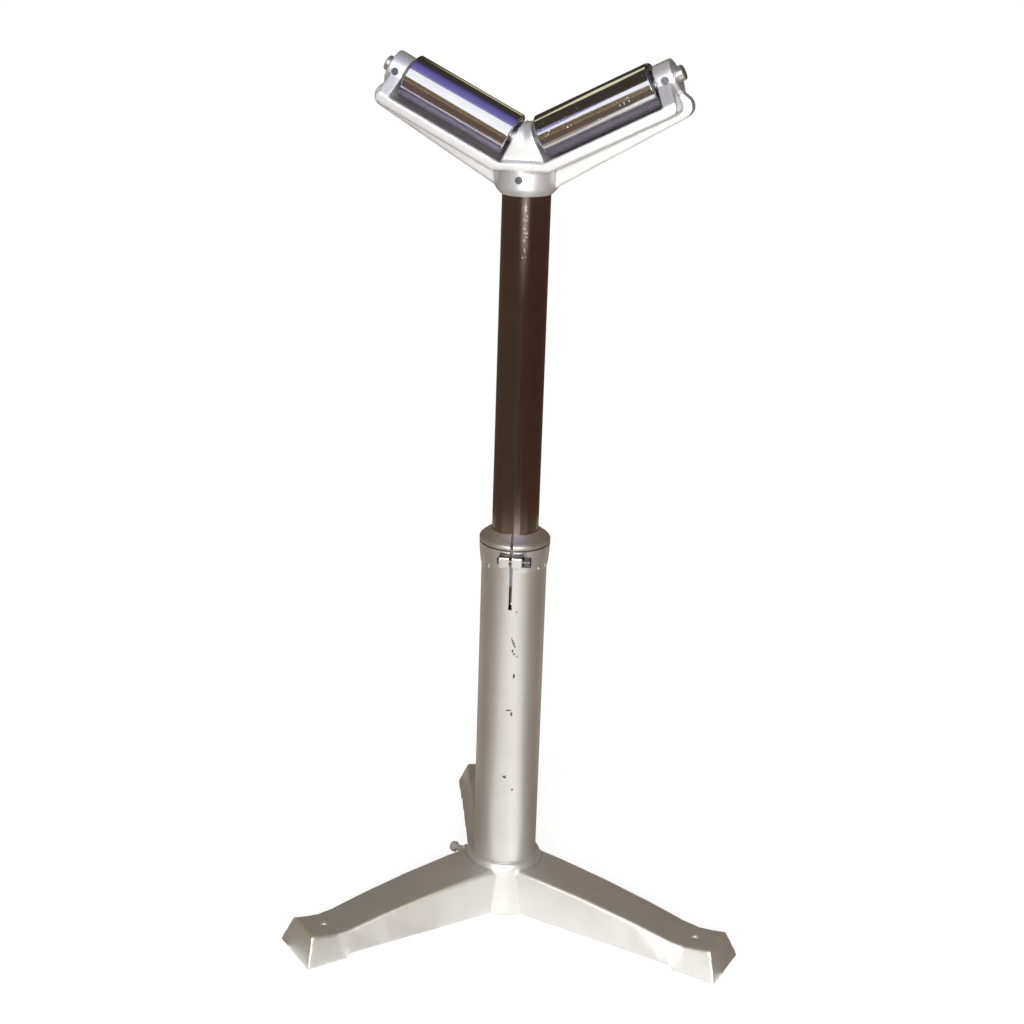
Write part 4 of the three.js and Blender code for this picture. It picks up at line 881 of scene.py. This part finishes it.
for side, arm in arms.items():
    roller = new_piece(f"{side}_chrome_roller", shaped(turned(eased(roller_line, 0.5 * mm), 192), f"{side}_chrome_roller", arm @ along_x))
    finished_in(roller, ground_chrome(f"{side}_ground_chrome", arm, 1.0 if side == "right" else 0.5))
    fit(roller, f"roller_{side}", "chrome_steel", f"{side}_roller")

# ---------------------------------------------------------------------------------------------
# Floor: a pale studio sheet. It is white away from the stand and keeps the stand's soft shadow
# under and beside the feet.
sheet = bmesh.new()
bmesh.ops.create_grid(sheet, x_segments=2, y_segments=2, size=40)
floor = new_piece("studio_floor", shaped(sheet, "studio_floor", Matrix.Translation((0, 0, -0.0004))))
paper = bpy.data.materials.new("studio_paper")
paper.use_nodes = True
tree = paper.node_tree
tree.nodes.clear()


def seen_directly(tree):
    rays = tree.nodes.new("ShaderNodeLightPath")
    seen = figured(tree, "MAXIMUM", rays.outputs["Is Camera Ray"], rays.outputs["Is Glossy Ray"])
    return figured(tree, "MAXIMUM", seen, rays.outputs["Is Transmission Ray"])


where = tree.nodes.new("ShaderNodeTexCoord").outputs["Object"]
away = put(tree, "ShaderNodeVectorMath", {0: where}, operation="LENGTH").outputs["Value"]
fade = put(tree, "ShaderNodeMapRange", {"Value": away, "From Min": 0.33, "From Max": 0.95}, interpolation_type="SMOOTHSTEP").outputs["Result"]
seen = seen_directly(tree)
fibre = mottle(tree, where, 60, 3)
tone = tinted(tree, fibre, (0.36, 0.36, 0.36, 1), (0.38, 0.38, 0.38, 1))
matt = put(tree, "ShaderNodeBsdfDiffuse", {"Color": tone})
lit = put(tree, "ShaderNodeEmission", {"Color": (1, 1, 1, 1), "Strength": figured(tree, "MULTIPLY", seen, 0.83)})
near = put(tree, "ShaderNodeAddShader", {0: matt.outputs[0], 1: lit.outputs[0]})
white = put(tree, "ShaderNodeEmission", {"Color": (1, 1, 1, 1), "Strength": seen})
blend = put(tree, "ShaderNodeMixShader", {0: fade, 1: near.outputs[0], 2: white.outputs[0]})
put(tree, "ShaderNodeOutputMaterial", {"Surface": blend.outputs[0]})
finished_in(floor, paper)

# ---------------------------------------------------------------------------------------------
# Room: a white surround, a large soft lamp in front, a weaker one behind, and cards that only
# metal sees: a soft box, violet cards, a dark board, pale strips, a brown tent and plain cloths.
world = bpy.data.worlds.new("white_room")
bpy.context.scene.world = world
world.use_nodes = True
tree = world.node_tree
tree.nodes.clear()
seen = seen_directly(tree)
dim = put(tree, "ShaderNodeBackground", {"Color": (1, 1, 1, 1), "Strength": 0.15})
white = put(tree, "ShaderNodeBackground", {"Color": (1, 1, 1, 1), "Strength": 1.0})
blend = put(tree, "ShaderNodeMixShader", {0: seen, 1: dim.outputs[0], 2: white.outputs[0]})
put(tree, "ShaderNodeOutputWorld", {"Surface": blend.outputs[0]})


def lamp(name, place, aim, width, height, power):
    light = bpy.data.lights.new(name, "AREA")
    light.shape = "RECTANGLE"
    light.size = width
    light.size_y = height
    light.energy = power
    holder = bpy.data.objects.new(name, light)
    bpy.context.scene.collection.objects.link(holder)
    toward = (Vector(aim) - Vector(place)).to_track_quat("-Z", "Y")
    holder.matrix_world = Matrix.Translation(place) @ toward.to_matrix().to_4x4()
    return holder


lamp("front_soft_lamp", (-0.30, -2.45, 1.22), (0, 0, 0.52), 1.3, 0.9, 52)
fill = lamp("rear_soft_lamp", (0.50, 2.50, 0.62), (0, 0, 0.55), 1.6, 0.9, 40)
fill.visible_glossy = False


def glow(name, colour, second, scale):
    material = bpy.data.materials.new(name)
    material.use_nodes = True
    tree = material.node_tree
    tree.nodes.clear()
    where = tree.nodes.new("ShaderNodeTexCoord").outputs["Object"]
    tone = tinted(tree, mottle(tree, where, scale), (*colour, 1), (*second, 1))
    shine = put(tree, "ShaderNodeEmission", {"Color": tone, "Strength": 1.0})
    put(tree, "ShaderNodeOutputMaterial", {"Surface": shine.outputs[0]})
    return material


def card(name, mesh, material):
    piece = new_piece(name, mesh)
    piece.visible_camera = False
    piece.visible_diffuse = False
    piece.visible_transmission = False
    piece.visible_volume_scatter = False
    piece.visible_shadow = False
    mesh.materials.append(material)
    return piece


def panel(name, middle, aim, width, height):
    form = bmesh.new()
    bmesh.ops.create_grid(form, x_segments=1, y_segments=1, size=0.5)
    bmesh.ops.scale(form, vec=(width, height, 1), verts=form.verts)
    toward = (Vector(aim) - Vector(middle)).to_track_quat("Z", "Y").to_matrix().to_4x4()
    return shaped(form, name, Matrix.Translation(middle) @ toward)


def cut_card(name, corners):
    form = bmesh.new()
    form.faces.new([form.verts.new(spot) for spot in corners])
    return shaped(form, name)


box_line = [(-0.90, 1.05), (0.95, 0.80), (0.95, 2.90), (-0.90, 2.90), (-1.95, 2.10), (-1.90, 1.45), (-1.15, 1.26)]
card("soft_box", cut_card("soft_box", [(x, -1.75, z) for x, z in box_line]),
     glow("soft_box_glow", (1.12, 1.12, 1.13), (1.00, 1.02, 1.08), 0.9))
card("violet_wall", cut_card("violet_wall", [(-1.95, -1.76, 1.40), (-1.95, -1.76, 2.20), (-2.05, -1.30, 2.30), (-2.05, -1.30, 1.55)]),
     glow("violet_wall_glow", (0.20, 0.17, 0.40), (0.42, 0.38, 0.62), 9))

violet = bpy.data.materials.new("violet_ceiling_glow")
violet.use_nodes = True
tree = violet.node_tree
tree.nodes.clear()
depth = put(tree, "ShaderNodeSeparateXYZ", {0: tree.nodes.new("ShaderNodeTexCoord").outputs["Object"]}).outputs["Y"]
tone = tinted(tree, ranged(tree, depth, -0.74, -0.45), (0.30, 0.27, 0.56, 1), (0.16, 0.14, 0.40, 1))
tone = tinted(tree, ranged(tree, depth, -0.30, 0.08), tone, (0.035, 0.028, 0.055, 1))
shine = put(tree, "ShaderNodeEmission", {"Color": tone, "Strength": 1.0})
put(tree, "ShaderNodeOutputMaterial", {"Surface": shine.outputs[0]})
card("violet_ceiling", panel("violet_ceiling", (0.05, -0.33, 1.75), (0.05, -0.33, 0), 0.74, 0.86), violet)

card("dark_board", cut_card("dark_board", [(-1.2, 0.64, 1.06), (1.1, 0.64, 1.06), (1.1, 0.64, 2.5), (-1.2, 0.64, 2.5)]),
     glow("dark_board_glow", (0.030, 0.026, 0.018), (0.055, 0.048, 0.034), 2.5))
card("left_roller_strip", cut_card("left_roller_strip", [(0.12, 0.60, 1.27), (0.50, 0.60, 1.16), (0.50, 0.60, 1.40), (0.12, 0.60, 1.50)]),
     glow("left_strip_glow", (0.80, 0.74, 0.46), (0.62, 0.55, 0.33), 3))
card("right_roller_strip", cut_card("right_roller_strip", [(-0.95, 0.60, 2.02), (-0.30, 0.60, 1.58), (-0.30, 0.60, 1.84), (-0.95, 0.60, 2.36)]),
     glow("right_strip_glow", (0.92, 0.88, 0.60), (0.74, 0.68, 0.44), 3))

tent_form = bmesh.new()
bmesh.ops.create_uvsphere(tent_form, u_segments=48, v_segments=24, radius=7)
tent_mesh = bpy.data.meshes.new("brown_tent")
tent_form.to_mesh(tent_mesh)
tent_form.free()
brown = bpy.data.materials.new("brown_tent_glow")
brown.use_nodes = True
tree = brown.node_tree
tree.nodes.clear()
where = tree.nodes.new("ShaderNodeTexCoord").outputs["Object"]
parts = put(tree, "ShaderNodeSeparateXYZ", {0: where})
tone = tinted(tree, mottle(tree, where, 0.3), (0.09, 0.06, 0.05, 1), (0.12, 0.09, 0.06, 1))
tone = tinted(tree, ranged(tree, parts.outputs["Z"], 2.2, 1.4), tone, (0.10, 0.08, 0.06, 1))
forward = figured(tree, "MULTIPLY", parts.outputs["Y"], 0.4)
lean = figured(tree, "SUBTRACT", parts.outputs["Z"], forward)
tone = tinted(tree, ranged(tree, lean, 2.0, 2.8), tone, (0.19, 0.13, 0.05, 1))
tone = tinted(tree, ranged(tree, lean, 3.5, 4.2), tone, (0.05, 0.04, 0.03, 1))
shine = put(tree, "ShaderNodeEmission", {"Color": tone, "Strength": 1.0})
put(tree, "ShaderNodeOutputMaterial", {"Surface": shine.outputs[0]})
card("brown_tent", tent_mesh, brown)


def sector(name, start, stop, inner, outer):
    """A flat piece of cloth round the column, between two bearings counted from the front."""
    form = bmesh.new()
    steps = max(2, round((stop - start) / 4))
    bearings = [math.radians(start + (stop - start) * k / steps) for k in range(steps + 1)]
    rims = [[form.verts.new((r * math.sin(t), standing.translation.y - r * math.cos(t), 0.001)) for t in bearings] for r in (inner, outer)]
    for k in range(steps):
        form.faces.new((rims[0][k], rims[1][k], rims[1][k + 1], rims[0][k + 1]))
    return shaped(form, name)


pale_cloth = (0.75, 0.72, 0.70)
brown_cloth = (0.20, 0.16, 0.13)
grey_cloth = (0.35, 0.30, 0.25)
dark_cloth = (0.13, 0.09, 0.07)
red_cloth = (0.12, 0.06, 0.05)
for name, start, stop, inner, outer, colour in (
    ("near_cloth", 58, 296, 0.03, 0.32, brown_cloth),
    ("left_cloth", 240, 288, 0.32, 1.4, brown_cloth),
    ("right_cloth", 58, 120, 0.32, 1.4, brown_cloth),
    ("left_near_cloth", 288, 317, 0.32, 1.4, grey_cloth),
    ("right_near_cloth", 43, 58, 0.32, 1.4, grey_cloth),
    ("front_near_cloth", -43, 8, 0.12, 0.95, pale_cloth),
    ("front_left_cloth", 317, 350, 0.95, 1.4, grey_cloth),
    ("front_right_cloth", 20, 43, 0.95, 1.4, grey_cloth),
    ("back_right_cloth", 120, 168, 0.32, 1.4, grey_cloth),
    ("back_left_cloth", 192, 240, 0.32, 1.4, grey_cloth),
    ("outer_left_cloth", 180, 356, 1.4, 6.5, dark_cloth),
    ("outer_right_cloth", -4, 180, 1.4, 6.5, red_cloth),
):
    card(name, sector(name, start, stop, inner, outer), glow(name + "_glow", [c * 0.88 for c in colour], [c * 1.12 for c in colour], 2.5))

# ---------------------------------------------------------------------------------------------
# Camera: a long lens a little left of the stand and above its head, turned down to it, with the
# lens shifted so that the stand sits where the photograph has it.
camera = bpy.data.cameras.new("photo_view")
camera.sensor_width = 36
camera.lens = 61.378
camera.shift_x = 0.2148
camera.shift_y = -0.0684
camera.clip_end = 100
viewer = bpy.data.objects.new("photo_view", camera)
bpy.context.scene.collection.objects.link(viewer)
aimed = Matrix.Rotation(math.radians(4.185), 4, "Z") @ Matrix.Rotation(math.radians(72.391), 4, "X")
viewer.matrix_world = Matrix.Translation((-0.11964, -1.98375, 1.20274)) @ aimed @ Matrix.Rotation(math.radians(-0.392), 4, "Z")
bpy.context.scene.camera = viewer
bpy.context.scene.view_settings.view_transform = "Standard"
